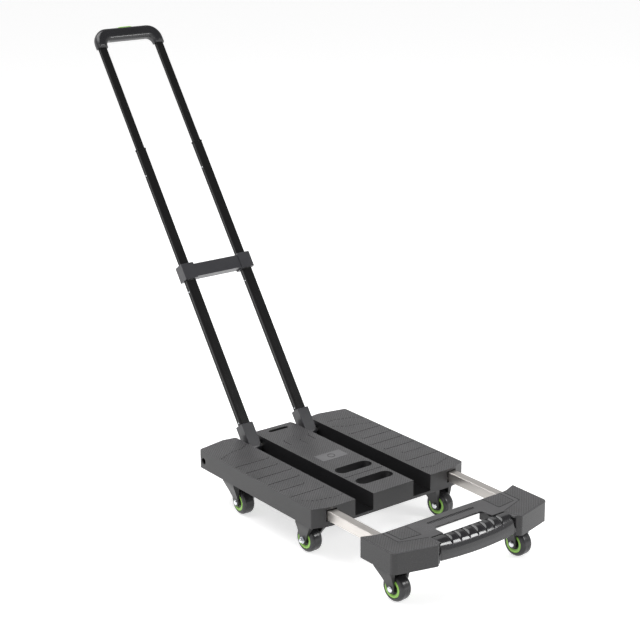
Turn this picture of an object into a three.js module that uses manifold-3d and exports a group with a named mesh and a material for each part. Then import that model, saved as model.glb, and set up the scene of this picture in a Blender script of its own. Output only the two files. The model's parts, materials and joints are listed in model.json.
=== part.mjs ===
// Folding platform cart: a moulded deck on four swivel casters, a front extension that slides on
// two steel bars and stands on two more casters, and a three-stage pull handle that leans back in
// use and folds forward over the deck.
//
// Frame: millimetres, +Z up, floor at z = 0. +X is the cart's right, +Y points back to the handle,
// -Y points forward to the carry grip. Sizes are laid out with y = 0 at the deck's rear corners;
// the finished cart is then moved along Y so that the origin is under the middle of its box.

import * as THREE from 'three';
import { mergeVertices } from 'three/addons/utils/BufferGeometryUtils.js';
import Module from 'manifold-3d';

const wasm = await Module();
wasm.setup();

// ---------------------------------------------------------------- driving dimensions

const FIT_GAP = 0.3; // between pieces that touch or slide
const WALL = 3; // moulded walls
const RAD = Math.PI / 180;

// casters
const WHEEL_DIAMETER = 50;
const WHEEL_WIDTH = 25;
const TYRE_BORE = 34.6;
const CORE_BORE = 22.6;
const AXLE_DIAMETER = 6;
const CASTER_TRAIL = 16; // wheel axle to swivel axis
const CROWN_CLEARANCE = 11; // tyre top to the underside of the fork's crown
const CROWN_HEIGHT = 7;
const RACE_HEIGHT = 0.9; // gap that the ball race keeps between fork and plate
const PLATE_THICKNESS = 2.5;
const PLATE_SIDE = 34;
const FORK_SIDE_GAP = 1.4; // tyre side to the fork leg
const FORK_LEG = 3;
const FORK_FLARE = 9.5; // how far each leg's outer face leans out at the crown
const WHEEL_RADIUS = WHEEL_DIAMETER / 2;
const FORK_TOP = WHEEL_DIAMETER + CROWN_CLEARANCE + CROWN_HEIGHT;
const CASTER_HEIGHT = FORK_TOP + RACE_HEIGHT + PLATE_THICKNESS + 2 * FIT_GAP;

// deck
const DECK_WIDTH = 356;
const DECK_LENGTH = 368;
const DECK_THICKNESS = 37;
const CORNER_SETBACK = 12; // how far the front outer corners stand back
const CORNER_RUN = 38; // width of the slanted stretch of the front edge
const PANEL_BULGE = 12; // how far the side panels' rear ends stand out
const FLOOR_THICKNESS = 5; // under the handle channels
const DECK_TOP = CASTER_HEIGHT + DECK_THICKNESS;
const HALF_WIDTH = DECK_WIDTH / 2;
const CASTER_INSET = 36.5; // deck side to the swivel axis
const CASTER_X = HALF_WIDTH - CASTER_INSET;
const REAR_CASTER_Y = -77.5;
const FRONT_CASTER_SETBACK = 50;
const GROOVE_WIDTH = 1.5;
const GROOVE_DEPTH = 0.9;
const GROOVE_PITCH = 34.6;
const GROOVE_FIRST = -117;
const GROOVE_STARTS = [10.5, 15.5, 7.5, 15.5, 30, 10.5]; // inner end, from the channel's edge
const SLOT_LENGTH = 82;
const SLOT_WIDTH = 27.5;
const SLOT_CENTRES = [117.5, 55.5]; // from the deck's front edge
const STRAP_HOLE_DIAMETER = 13;

// sliding bars and extension
const BAR_WIDTH = 18;
const BAR_HEIGHT = 19;
const BAR_WALL = 1.5;
const BAR_X = CASTER_X;
const EXTENSION_GAP = 136; // open gap between deck and extension, fully drawn out
const BAR_ENGAGED = 128; // bar length inside the deck, fully drawn out
const GUIDE_LENGTH = 34;
const STOP_LENGTH = 10;
const STOP_LIP = 2; // stop collar past the bar's taller side
const STOP_SIDE = Math.max(BAR_WIDTH, BAR_HEIGHT) + 2 * STOP_LIP;
const STOP_COVER = 4.1; // deck top to the stop collar
const BAR_DROP = STOP_SIDE / 2 + STOP_COVER; // deck top to the bar's centre line
const OPENING_MARGIN = 2; // deck opening round the bar
const EXTENSION_DROP = 1; // extension top below the deck top
const EXTENSION_THICKNESS = 38.2;
const SIDE_DEPTH = 81; // length of the extension's outer sides
const NOSE_DEPTH = 97; // rear edge to the foremost line of the wings
const NOSE_HALF = 98; // half width of the stretch between the wings' inner ends
const CROSSPIECE_DEPTH = 37; // extension's rear edge to the hand slot
const HAND_SLOT_DEPTH = 26;
const HAND_SLOT_LENGTH = 113;
const GRIP_HALF = 84; // half length of the carry grip
const EXTENSION_CASTER_SETBACK = 26;
const MIDDLE_SKIN = 3.5; // thin stretch between the wings
const MIDDLE_RIM = 12;

// handle
const LEAN = 35.65 * RAD; // tubes lean back from upright
const TUBE_SPACING = 136;
const TUBE_X = TUBE_SPACING / 2;
const TUBE_LINE_Y = -7.4; // where the tubes' centre lines cross the deck top
const PIVOT_DEPTH = 18; // pivot pins below the deck top
const PIN_DIAMETER = 8;
const SOCKET_TOP = 49; // along the tubes, from the pivot
const SOCKET_WALL = 1.5; // beside the tube
const SOCKET_CHEEK = 5.3; // before and behind the tube
const CHANNEL_SIDE_GAP = 7.8; // socket side to the channel wall
const TUBE_WALL = 1.1;
const TUBE_WIDTH = 23; // lower stage
const TUBE_DEPTH = 14.4;
const SOCKET_WIDTH = TUBE_WIDTH + 2 * SOCKET_WALL;
const SOCKET_DEPTH = TUBE_DEPTH + 2 * SOCKET_CHEEK;
const LOWER_EXPOSED = 312;
const MIDDLE_EXPOSED = 261;
const UPPER_EXPOSED = 233;
const STAGE_OVERLAP = 58;
const STAGE_REST_GAP = 3; // left between stages when the handle is pushed in
const CROSSBAR_HEIGHT = 33;
const CROSSBAR_DEPTH = 25;
const COLLAR_WALL = 3;
const CROSSBAR_COLLAR = TUBE_WIDTH + 2 * COLLAR_WALL;
const HANDGRIP_THICKNESS = 28;
const HANDGRIP_DEPTH = 22;
const HANDGRIP_LEG = 15; // length of the grip's legs below its bar
const HANDGRIP_LEG_WIDTH = 23.4;
const HANDGRIP_RADIUS = 31;
const BUTTON_LENGTH = 36;
const BUTTON_WIDTH = 11;
const BUTTON_TRAVEL = 4;
const BUTTON_PROUD = 1.4;

// ---------------------------------------------------------------- finishes

const finish = (color, roughness, metalness = 0) =>
  new THREE.MeshStandardMaterial({ color, roughness, metalness });

const mouldedPlastic = finish(0x4b4a4c, 0.55);
const darkPlastic = finish(0x262628, 0.5);
const softGrip = finish(0x2f2f33, 0.35);
const blackTube = finish(0x1f1f21, 0.35, 0.6);
const brushedSteel = finish(0xcfcac4, 0.3, 1);
const chrome = finish(0xdfe2e4, 0.12, 1);
const tyreRubber = finish(0x4b4b4e, 0.45);
const greenPlastic = finish(0x8cc751, 0.45);

// ---------------------------------------------------------------- solids

// A closed body: shared corners merged, collapsed triangles dropped, faces turned to point out.
function closed(source) {
  const bare = source.index ? source.toNonIndexed() : source.clone();
  for (const name of Object.keys(bare.attributes)) {
    if (name !== 'position') bare.deleteAttribute(name);
  }
  const merged = mergeVertices(bare, 1e-4);
  const xyz = merged.attributes.position;
  const corner = (i) => new THREE.Vector3().fromBufferAttribute(xyz, i);
  const faces = [];
  let volume = 0;
  for (let i = 0; i < merged.index.count; i += 3) {
    const [a, b, c] = [0, 1, 2].map((j) => merged.index.getX(i + j));
    if (a === b || b === c || c === a) continue;
    faces.push(a, b, c);
    volume += corner(a).dot(corner(b).cross(corner(c)));
  }
  merged.setIndex(volume < 0 ? faces.reverse() : faces);
  return merged;
}

function solid(source) {
  const geometry = closed(source);
  return new wasm.Manifold(
    new wasm.Mesh({
      numProp: 3,
      vertProperties: new Float32Array(geometry.attributes.position.array),
      triVerts: new Uint32Array(geometry.index.array),
    }),
  );
}

function geometryOf(body) {
  const mesh = body.getMesh();
  const geometry = new THREE.BufferGeometry();
  const xyz = new Float32Array(mesh.vertProperties);
  geometry.setAttribute('position', new THREE.BufferAttribute(xyz, 3));
  geometry.setIndex(new THREE.BufferAttribute(new Uint32Array(mesh.triVerts), 1));
  geometry.computeVertexNormals();
  return geometry;
}

const join = (...bodies) => bodies.reduce((whole, body) => whole.add(body));
const cut = (body, ...tools) => tools.reduce((rest, tool) => rest.subtract(tool), body);

function block(x0, x1, y0, y1, z0, z1) {
  const geometry = new THREE.BoxGeometry(x1 - x0, y1 - y0, z1 - z0);
  return solid(geometry.translate((x0 + x1) / 2, (y0 + y1) / 2, (z0 + z1) / 2));
}

function extrusion(shape, depth) {
  return new THREE.ExtrudeGeometry(shape, { depth, bevelEnabled: false, curveSegments: 4 });
}

const outline = (points) => new THREE.Shape(points.map(([u, v]) => new THREE.Vector2(u, v)));

// Plan outline [x, y] raised from z0 to z1.
const raised = (points, z0, z1) => solid(extrusion(outline(points), z1 - z0).translate(0, 0, z0));

const axesYZX = new THREE.Matrix4().makeBasis(
  new THREE.Vector3(0, 1, 0),
  new THREE.Vector3(0, 0, 1),
  new THREE.Vector3(1, 0, 0),
);

// Side outline [y, z] run along X from x0 to x1.
function sideways(points, x0, x1) {
  return solid(extrusion(outline(points), x1 - x0).applyMatrix4(axesYZX).translate(x0, 0, 0));
}

const axesXZY = new THREE.Matrix4().makeBasis(
  new THREE.Vector3(1, 0, 0),
  new THREE.Vector3(0, 0, 1),
  new THREE.Vector3(0, -1, 0),
);

// Front outline [x, z] run along Y, centred on y = 0.
function lengthways(shape, depth) {
  return solid(extrusion(shape, depth).applyMatrix4(axesXZY).translate(0, depth / 2, 0));
}

function rodAlongX(radius, x0, x1, y, z, segments = 16) {
  const geometry = new THREE.CylinderGeometry(radius, radius, x1 - x0, segments);
  return solid(geometry.rotateZ(Math.PI / 2).translate((x0 + x1) / 2, y, z));
}

function rodAlongZ(radius, z0, z1, segments = 20) {
  const geometry = new THREE.CylinderGeometry(radius, radius, z1 - z0, segments);
  return solid(geometry.rotateX(Math.PI / 2).translate(0, 0, (z0 + z1) / 2));
}

// Profile [radius, x] turned round the X axis; the first point is repeated on a ring.
function turned(profile, segments) {
  const points = profile.map(([r, x]) => new THREE.Vector2(r, x));
  return new THREE.LatheGeometry(points, segments).rotateZ(-Math.PI / 2);
}

function arc(cx, cy, radius, from, to, steps) {
  return Array.from({ length: steps + 1 }, (_, i) => {
    const angle = (from + ((to - from) * i) / steps) * RAD;
    return [cx + radius * Math.cos(angle), cy + radius * Math.sin(angle)];
  });
}

// Stadium outline, long along X.
function stadium(cx, cy, length, width, steps = 6) {
  const run = (length - width) / 2;
  return [
    ...arc(cx + run, cy, width / 2, -90, 90, steps),
    ...arc(cx - run, cy, width / 2, 90, 270, steps),
  ];
}

function roundedRectangle(width, depth, radius, ShapeClass = THREE.Shape) {
  const [w, d] = [width / 2, depth / 2];
  const points = [
    ...arc(w - radius, d - radius, radius, 0, 90, 3),
    ...arc(radius - w, d - radius, radius, 90, 180, 3),
    ...arc(radius - w, radius - d, radius, 180, 270, 3),
    ...arc(w - radius, radius - d, radius, 270, 360, 3),
  ];
  return new ShapeClass(points.map(([u, v]) => new THREE.Vector2(u, v)));
}

const mirrored = (points) => [...points, ...points.map(([x, y]) => [-x, y]).reverse()];

// Outline moved inwards by a wall; the outline runs anticlockwise.
function inset(points, wall) {
  const edges = points.map(([x, y], i) => {
    const [u, v] = points[(i + 1) % points.length];
    const length = Math.hypot(u - x, v - y);
    const [nx, ny] = [-(v - y) / length, (u - x) / length];
    return { nx, ny, offset: nx * x + ny * y + wall };
  });
  return edges.map((next, i) => {
    const last = edges[(i + edges.length - 1) % edges.length];
    const det = last.nx * next.ny - last.ny * next.nx;
    return [
      (last.offset * next.ny - next.offset * last.ny) / det,
      (last.nx * next.offset - next.nx * last.offset) / det,
    ];
  });
}

function anticlockwise(points) {
  const area = points.reduce((sum, [x, y], i) => {
    const [u, v] = points[(i + 1) % points.length];
    return sum + x * v - u * y;
  }, 0);
  return area < 0 ? [...points].reverse() : points;
}

// ---------------------------------------------------------------- scene graph

const cart = new THREE.Group();

function place(parent, name, shape, material) {
  const geometry = shape.isBufferGeometry ? closed(shape) : geometryOf(shape);
  geometry.computeVertexNormals();
  const mesh = new THREE.Mesh(geometry, material);
  mesh.name = name;
  parent.add(mesh);
}

const SIDES = [
  { side: 'left', sign: -1 },
  { side: 'right', sign: 1 },
];

// ---------------------------------------------------------------- deck

const CHANNEL_INNER = TUBE_X - SOCKET_WIDTH / 2 - CHANNEL_SIDE_GAP;
const CHANNEL_OUTER = TUBE_X + SOCKET_WIDTH / 2 + CHANNEL_SIDE_GAP;
const FLOOR_TOP = CASTER_HEIGHT + FLOOR_THICKNESS;
const PIVOT_Z = DECK_TOP - PIVOT_DEPTH;
const PIVOT_Y = TUBE_LINE_Y - PIVOT_DEPTH * Math.tan(LEAN);
const BAR_Z = DECK_TOP - BAR_DROP;
const CHANNEL_MOUTH = 4;
const SLANT_START = HALF_WIDTH - CORNER_RUN;

// Front edge of one side panel, from its inner end to the outer corner.
const frontEdge = (y) => [
  [SLANT_START, y],
  [SLANT_START + CORNER_RUN / 3, y + CORNER_SETBACK / 6],
  [HALF_WIDTH, y + CORNER_SETBACK],
];

function sidePanelOutline() {
  return [
    [CHANNEL_OUTER, -DECK_LENGTH],
    ...frontEdge(-DECK_LENGTH),
    [HALF_WIDTH, 0],
    [CHANNEL_OUTER + 28, PANEL_BULGE],
    [CHANNEL_OUTER + 1.5, CHANNEL_MOUTH + 4],
    [CHANNEL_OUTER, CHANNEL_MOUTH],
  ];
}

function centrePanelOutline() {
  return [
    [-CHANNEL_INNER, -DECK_LENGTH],
    [CHANNEL_INNER, -DECK_LENGTH],
    [CHANNEL_INNER, 0],
    [CHANNEL_INNER - 2, 9],
    [2 - CHANNEL_INNER, 9],
    [-CHANNEL_INNER, 0],
  ];
}

const slotY = (fromFront) => -DECK_LENGTH + fromFront;
const REAR_SLOT = { x: 2.5, y: -8, length: 46, width: 9.5 };

function centreHollow() {
  const low = CASTER_HEIGHT - 1;
  const high = DECK_TOP - WALL;
  const space = raised(inset(centrePanelOutline(), WALL), low, high);
  const wells = SLOT_CENTRES.map((centre) =>
    raised(stadium(0, slotY(centre), SLOT_LENGTH + 2 * WALL, SLOT_WIDTH + 2 * WALL), low, high + 1),
  );
  const rearWell = raised(
    stadium(REAR_SLOT.x, REAR_SLOT.y, REAR_SLOT.length + 5, REAR_SLOT.width + 5),
    low,
    high + 1,
  );
  const ribs = [0.15, 0.32, 0.49, 0.93].map((share) => {
    const y = -DECK_LENGTH * share;
    return block(-CHANNEL_INNER, CHANNEL_INNER, y - 1.2, y + 1.2, low, high + 1);
  });
  return cut(space, ...wells, rearWell, ...ribs);
}

function topGrooves(sign) {
  return GROOVE_STARTS.map((start, i) => {
    const y = GROOVE_FIRST - i * GROOVE_PITCH;
    const [inner, outer] = [CHANNEL_OUTER + start, HALF_WIDTH - 3];
    const [x0, x1] = [sign * inner, sign * outer].sort((a, b) => a - b);
    return block(x0, x1, y - GROOVE_WIDTH / 2, y + GROOVE_WIDTH / 2, DECK_TOP - GROOVE_DEPTH,
      DECK_TOP + 1);
  });
}

function centreGrooves() {
  const dashes = [[-26.5, -91, -66], [3, -107, -80], [30, -95, -68]].map(([x, front, rear]) =>
    block(x - 0.7, x + 0.7, front, rear, DECK_TOP - GROOVE_DEPTH, DECK_TOP + 1),
  );
  const middle = slotY((SLOT_CENTRES[0] + SLOT_CENTRES[1]) / 2);
  const half = SLOT_LENGTH / 2 + 4;
  return [...dashes,
    block(-half, half, middle - 0.7, middle + 0.7, DECK_TOP - GROOVE_DEPTH, DECK_TOP + 1)];
}

// Ledge behind each socket that stops the handle at its lean.
function leanStop(sign) {
  const reach = SOCKET_DEPTH / 2 + FIT_GAP;
  const along = (z) => {
    const t = (z - PIVOT_Z + reach * Math.sin(LEAN)) / Math.cos(LEAN);
    return [PIVOT_Y + t * Math.sin(LEAN) + reach * Math.cos(LEAN), z];
  };
  const ledge = [
    along(CASTER_HEIGHT + 1),
    along(DECK_TOP - 14),
    [CHANNEL_MOUTH - 2, DECK_TOP - 14],
    [CHANNEL_MOUTH - 0.5, CASTER_HEIGHT + 1],
  ];
  const [x0, x1] = [sign * (CHANNEL_INNER - 1), sign * (CHANNEL_OUTER + 1)].sort((a, b) => a - b);
  return sideways(ledge.reverse(), x0, x1);
}

function deckShell() {
  let body = raised(centrePanelOutline(), CASTER_HEIGHT, DECK_TOP);
  const hollows = [centreHollow()];
  const tools = SLOT_CENTRES.map((centre) =>
    raised(stadium(0, slotY(centre), SLOT_LENGTH, SLOT_WIDTH), CASTER_HEIGHT - 2, DECK_TOP + 2),
  );
  tools.push(
    raised(
      stadium(REAR_SLOT.x, REAR_SLOT.y, REAR_SLOT.length, REAR_SLOT.width),
      CASTER_HEIGHT - 2,
      DECK_TOP + 2,
    ),
    ...centreGrooves(),
  );
  const barHalf = BAR_WIDTH / 2 + OPENING_MARGIN;
  const barRise = BAR_HEIGHT / 2 + OPENING_MARGIN;
  for (const { sign } of SIDES) {
    const panel = anticlockwise(sidePanelOutline().map(([x, y]) => [sign * x, y]));
    const [x0, x1] = [sign * (CHANNEL_INNER - 1), sign * (CHANNEL_OUTER + 1)].sort((a, b) => a - b);
    body = join(
      body,
      raised(panel, CASTER_HEIGHT, DECK_TOP),
      block(x0, x1, -DECK_LENGTH, CHANNEL_MOUTH - 0.5, CASTER_HEIGHT, FLOOR_TOP),
      leanStop(sign),
    );
    hollows.push(raised(inset(panel, WALL), CASTER_HEIGHT - 1, DECK_TOP - WALL));
    const bar = sign * BAR_X;
    tools.push(
      block(bar - barHalf, bar + barHalf, -DECK_LENGTH - 1, -DECK_LENGTH + CORNER_SETBACK,
        BAR_Z - barRise, BAR_Z + barRise),
      rodAlongX(PIN_DIAMETER / 2 + FIT_GAP, Math.min(sign * (CHANNEL_INNER - 6),
        sign * (CHANNEL_OUTER + 6)), Math.max(sign * (CHANNEL_INNER - 6),
        sign * (CHANNEL_OUTER + 6)), PIVOT_Y, PIVOT_Z),
      rodAlongX(STRAP_HOLE_DIAMETER / 2, sign * HALF_WIDTH - 8, sign * HALF_WIDTH + 8, -12.5,
        DECK_TOP - 20.9, 20),
      ...topGrooves(sign),
    );
  }
  return cut(body, ...hollows, ...tools);
}

place(cart, 'deck_shell', deckShell(), mouldedPlastic);

function pivotPin() {
  const radius = PIN_DIAMETER / 2;
  const half = SOCKET_WIDTH / 2 + CHANNEL_SIDE_GAP + WALL + 1.5;
  const profile = [
    [0, -half], [radius - 1, -half], [radius, 1 - half],
    [radius, half - 1], [radius - 1, half], [0, half],
  ];
  return turned(profile, 16);
}

for (const { side, sign } of SIDES) {
  const panel = anticlockwise(sidePanelOutline().map(([x, y]) => [sign * x, y]));
  place(cart, `base_plate_${side}`, raised(inset(panel, WALL + FIT_GAP), CASTER_HEIGHT,
    CASTER_HEIGHT + WALL), darkPlastic);

  const pin = new THREE.Group();
  pin.position.set(sign * TUBE_X, PIVOT_Y, PIVOT_Z);
  cart.add(pin);
  place(pin, `pivot_pin_${side}`, pivotPin(), brushedSteel);

  const bar = sign * BAR_X;
  const inside = [CASTER_HEIGHT + WALL + FIT_GAP, DECK_TOP - WALL - FIT_GAP];
  const rear = -DECK_LENGTH + CORNER_SETBACK + GUIDE_LENGTH;
  const [w, h] = [BAR_WIDTH / 2 + FIT_GAP, BAR_HEIGHT / 2 + FIT_GAP];
  const guide = cut(
    block(bar - w - 4, bar + w + 4, -DECK_LENGTH + WALL + 4, rear, ...inside),
    block(bar - w, bar + w, -DECK_LENGTH - 1, rear + 1, BAR_Z - h, BAR_Z + h),
  );
  place(cart, `bar_guide_${side}`, guide, darkPlastic);
}

// ---------------------------------------------------------------- extension

const EXTENSION_REAR = -DECK_LENGTH - EXTENSION_GAP;
const EXTENSION_TOP = DECK_TOP - EXTENSION_DROP;
const EXTENSION_BOTTOM = EXTENSION_TOP - EXTENSION_THICKNESS;
const NOSE_Y = EXTENSION_REAR - NOSE_DEPTH;
const SLOT_REAR = EXTENSION_REAR - CROSSPIECE_DEPTH;
const GRIP_REAR = SLOT_REAR - HAND_SLOT_DEPTH;

function extensionOutline() {
  const sideFront = EXTENSION_REAR + CORNER_SETBACK - SIDE_DEPTH;
  const half = HAND_SLOT_LENGTH / 2;
  return anticlockwise(
    mirrored([
      ...frontEdge(EXTENSION_REAR),
      [HALF_WIDTH, sideFront],
      [HALF_WIDTH - 1.5, sideFront - 5],
      [HALF_WIDTH - 6, sideFront - 9],
      [NOSE_HALF, NOSE_Y],
      [NOSE_HALF - 4, NOSE_Y + 1.5],
      [NOSE_HALF - 6, NOSE_Y + 6],
      [GRIP_HALF + FIT_GAP, NOSE_Y + 8],
      [GRIP_HALF + FIT_GAP, GRIP_REAR],
      [half, GRIP_REAR],
      ...arc(half - 9, SLOT_REAR - 9, 9, 0, 90, 3),
    ]),
  );
}

const extension = new THREE.Group();
cart.add(extension);

const WING_INNER = GRIP_HALF + FIT_GAP + 2;

// One wing's share of a body that spans the whole extension.
function wingPart(body, sign, inner) {
  const [x0, x1] = [sign * inner, sign * (HALF_WIDTH + 5)].sort((a, b) => a - b);
  return body.intersect(block(x0, x1, NOSE_Y - 9, EXTENSION_REAR + 40, 0, DECK_TOP + 9));
}

function extensionShell() {
  const shape = extensionOutline();
  const body = raised(shape, EXTENSION_BOTTOM, EXTENSION_TOP);
  const hollow = raised(inset(shape, WALL), EXTENSION_BOTTOM - 1, EXTENSION_TOP - WALL);
  const rib = stadium(0, EXTENSION_REAR - 19, 108, 7, 4);
  const [w, h] = [BAR_WIDTH / 2 + FIT_GAP, BAR_HEIGHT / 2 + FIT_GAP];
  const tools = SIDES.flatMap(({ sign }) => [
    wingPart(hollow, sign, WING_INNER + WALL),
    block(sign * BAR_X - w, sign * BAR_X + w, EXTENSION_REAR - WALL - 3,
      EXTENSION_REAR + CORNER_SETBACK, BAR_Z - h, BAR_Z + h),
  ]);
  return cut(
    body,
    raised(rib, EXTENSION_TOP - 1.2, EXTENSION_TOP + 1),
    block(-WING_INNER, WING_INNER, NOSE_Y - 1, EXTENSION_REAR - WALL, 0,
      EXTENSION_TOP - MIDDLE_SKIN),
    block(-WING_INNER, WING_INNER, EXTENSION_REAR - WALL - 1, EXTENSION_REAR + 1, 0,
      EXTENSION_TOP - MIDDLE_RIM),
    ...tools,
  );
}

place(extension, 'extension_shell', extensionShell(), mouldedPlastic);
for (const { side, sign } of SIDES) {
  const cover = raised(inset(extensionOutline(), WALL + FIT_GAP), CASTER_HEIGHT,
    CASTER_HEIGHT + WALL);
  place(extension, `extension_cover_${side}`,
    wingPart(cover, sign, WING_INNER + WALL + FIT_GAP), darkPlastic);
}

function carryGrip() {
  const rear = GRIP_REAR - FIT_GAP;
  const front = NOSE_Y + 1;
  const low = EXTENSION_BOTTOM + 0.5;
  const top = EXTENSION_TOP;
  const profile = [
    [rear, low], [rear, top - 5], [rear - 1.5, top - 1.5], [rear - 5, top],
    [rear - 11, top - 0.3], [front + 13, top - 3.5], [front + 7, top - 8.5],
    [front + 2.5, top - 16], [front + 0.6, top - 24], [front, low],
  ];
  return sideways(anticlockwise(profile), -GRIP_HALF, GRIP_HALF);
}

place(extension, 'carry_grip', carryGrip(), softGrip);

// A square tube with a wider collar round its rear end, which stops it leaving the deck.
function slidingBar() {
  const shape = roundedRectangle(BAR_WIDTH, BAR_HEIGHT, 1.5);
  const length = BAR_ENGAGED + EXTENSION_GAP + NOSE_DEPTH - 25;
  const rear = -DECK_LENGTH + BAR_ENGAGED;
  const half = STOP_SIDE / 2;
  const [w, h] = [BAR_WIDTH / 2 - BAR_WALL, BAR_HEIGHT / 2 - BAR_WALL];
  return cut(
    join(
      solid(extrusion(shape, length).rotateX(Math.PI / 2).translate(0, rear, 0)),
      block(-half, half, rear - STOP_LENGTH, rear, 0.5 - half, half - 0.5),
    ),
    block(-w, w, rear - length - 1, rear + 1, -h, h),
  );
}

for (const { side, sign } of SIDES) {
  const line = new THREE.Group();
  line.position.set(sign * BAR_X, 0, BAR_Z);
  extension.add(line);
  place(line, `sliding_bar_${side}`, slidingBar(), brushedSteel);
}

// ---------------------------------------------------------------- casters

// One caster about its swivel axis, with the wheel ahead of the axis (towards -Y).
const FORK_INNER = WHEEL_WIDTH / 2 + FORK_SIDE_GAP;
const FORK_OUTER = FORK_INNER + FORK_LEG;
const CROWN_LOW = WHEEL_DIAMETER + CROWN_CLEARANCE;
const CROWN_TOP = FORK_TOP - 1.5; // the legs' tops; a short neck carries the race

function casterPlate() {
  const low = FORK_TOP + FIT_GAP;
  const half = PLATE_SIDE / 2;
  const top = CASTER_HEIGHT - FIT_GAP;
  return join(
    block(-half, half, -half, half, top - PLATE_THICKNESS, top),
    rodAlongZ(14, low, top - 1),
  );
}

function forkBody() {
  const boss = 8.5;
  const axle = -CASTER_TRAIL;
  const side = anticlockwise([
    ...arc(axle, WHEEL_RADIUS, boss, 180, 360, 6),
    [axle + boss + 7, WHEEL_RADIUS + 14],
    [17, CROWN_TOP - 3],
    [17, CROWN_TOP],
    [axle - boss + 1, CROWN_TOP],
    [axle - boss, CROWN_TOP - 3],
  ]);
  const flareStart = WHEEL_RADIUS + 7;
  const flareEnd = CROWN_TOP - 6;
  const front = new THREE.Shape(
    mirrored([
      [FORK_OUTER + FORK_FLARE, CROWN_TOP],
      [FORK_OUTER + FORK_FLARE - 0.4, flareEnd],
      [FORK_OUTER + FORK_FLARE * 0.62, (flareStart + 2 * flareEnd) / 3],
      [FORK_OUTER, flareStart],
      [FORK_OUTER, WHEEL_RADIUS - boss - 1],
    ]).map(([x, z]) => new THREE.Vector2(x, z)),
  );
  const reach = 2 * (CASTER_TRAIL + boss + 4);
  const legs = sideways(side, -60, 60).intersect(lengthways(front, reach));
  return cut(
    join(legs, rodAlongZ(12, CROWN_TOP - 1, FORK_TOP)),
    block(-FORK_INNER, FORK_INNER, -60, 60, -1, CROWN_LOW),
    rodAlongX(AXLE_DIAMETER / 2 + FIT_GAP, -60, 60, axle, WHEEL_RADIUS, 12),
  );
}

function axleBolt() {
  const shank = AXLE_DIAMETER / 2;
  const face = FORK_OUTER + FIT_GAP;
  return turned(
    [
      [0, -face - 5], [3.2, -face - 4.4], [5.2, -face - 2], [5.2, -face],
      [shank, -face], [shank, face], [5.6, face], [5.6, face + 3.2], [0, face + 3.8],
    ],
    12,
  );
}

function tyre() {
  const half = WHEEL_WIDTH / 2;
  const bore = TYRE_BORE / 2;
  const profile = [
    [bore, -half + 1], [bore + 2, -half], [WHEEL_RADIUS - 2.6, 2.4 - half],
    [WHEEL_RADIUS, 7 - half], [WHEEL_RADIUS, half - 7], [WHEEL_RADIUS - 2.6, half - 2.4],
    [bore + 2, half], [bore, half - 1], [bore, -half + 1],
  ];
  return turned(profile, 24);
}

function wheelCore() {
  const half = WHEEL_WIDTH / 2;
  const [bore, rim] = [CORE_BORE / 2, TYRE_BORE / 2 - FIT_GAP];
  return turned(
    [[bore, 2.2 - half], [rim, 0.8 - half], [rim, half - 0.8], [bore, half - 2.2],
      [bore, 2.2 - half]],
    24,
  );
}

function hubBush() {
  const half = FORK_INNER - FIT_GAP;
  const [bore, rim] = [AXLE_DIAMETER / 2 + FIT_GAP, CORE_BORE / 2 - FIT_GAP];
  const face = WHEEL_WIDTH / 2 - 2.4;
  return turned(
    [[bore, -half], [bore + 2.6, -half], [rim, -face], [rim, face], [bore + 2.6, half],
      [bore, half], [bore, -half]],
    16,
  );
}

function addCaster(parent, where, x, y, turn) {
  const caster = new THREE.Group();
  caster.position.set(x, y, 0);
  parent.add(caster);
  place(caster, `caster_plate_${where}`, casterPlate(), brushedSteel);
  const swivel = new THREE.Group();
  swivel.rotation.z = turn * RAD;
  caster.add(swivel);
  place(swivel, `fork_${where}`, forkBody(), darkPlastic);
  const wheel = new THREE.Group();
  wheel.position.set(0, -CASTER_TRAIL, WHEEL_RADIUS);
  swivel.add(wheel);
  place(wheel, `axle_bolt_${where}`, axleBolt(), chrome);
  place(wheel, `hub_${where}`, hubBush(), darkPlastic);
  place(wheel, `wheel_core_${where}`, wheelCore(), greenPlastic);
  place(wheel, `tyre_${where}`, tyre(), tyreRubber);
}

const MIDDLE_CASTER_Y = -DECK_LENGTH + FRONT_CASTER_SETBACK;
const FRONT_CASTER_Y = EXTENSION_REAR - EXTENSION_CASTER_SETBACK;

addCaster(cart, 'rear_left', -CASTER_X, REAR_CASTER_Y, -4.5);
addCaster(cart, 'rear_right', CASTER_X, REAR_CASTER_Y, 6);
addCaster(cart, 'middle_left', -CASTER_X, MIDDLE_CASTER_Y, 181.7);
addCaster(cart, 'middle_right', CASTER_X, MIDDLE_CASTER_Y, 10.7);
addCaster(extension, 'front_left', -CASTER_X, FRONT_CASTER_Y, 5);
addCaster(extension, 'front_right', CASTER_X, FRONT_CASTER_Y, 4.6);

// ---------------------------------------------------------------- handle

// Built upright about the pivot, then leant back as one group.
const handle = new THREE.Group();
handle.position.set(0, PIVOT_Y, PIVOT_Z);
handle.rotation.x = -LEAN;
cart.add(handle);

const CROSSBAR_LOW = SOCKET_TOP + LOWER_EXPOSED;
const CROSSBAR_TOP = CROSSBAR_LOW + CROSSBAR_HEIGHT;
const MIDDLE_TOP = CROSSBAR_TOP + MIDDLE_EXPOSED;
const HANDGRIP_LOW = MIDDLE_TOP + UPPER_EXPOSED;
const HANDGRIP_BAR_LOW = HANDGRIP_LOW + HANDGRIP_LEG;
const HANDGRIP_TOP = HANDGRIP_BAR_LOW + HANDGRIP_THICKNESS;
const SOCKET_FLOOR = 14;
const SHOULDER = 6; // top of the crossbar collars, above the lower tubes' ends

const NEST_STEP = 2 * (TUBE_WALL + FIT_GAP);
const STAGES = [0, 1, 2].map((i) => ({
  width: TUBE_WIDTH - i * NEST_STEP,
  depth: TUBE_DEPTH - i * NEST_STEP,
  radius: 3.6 - 0.9 * i,
}));

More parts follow.
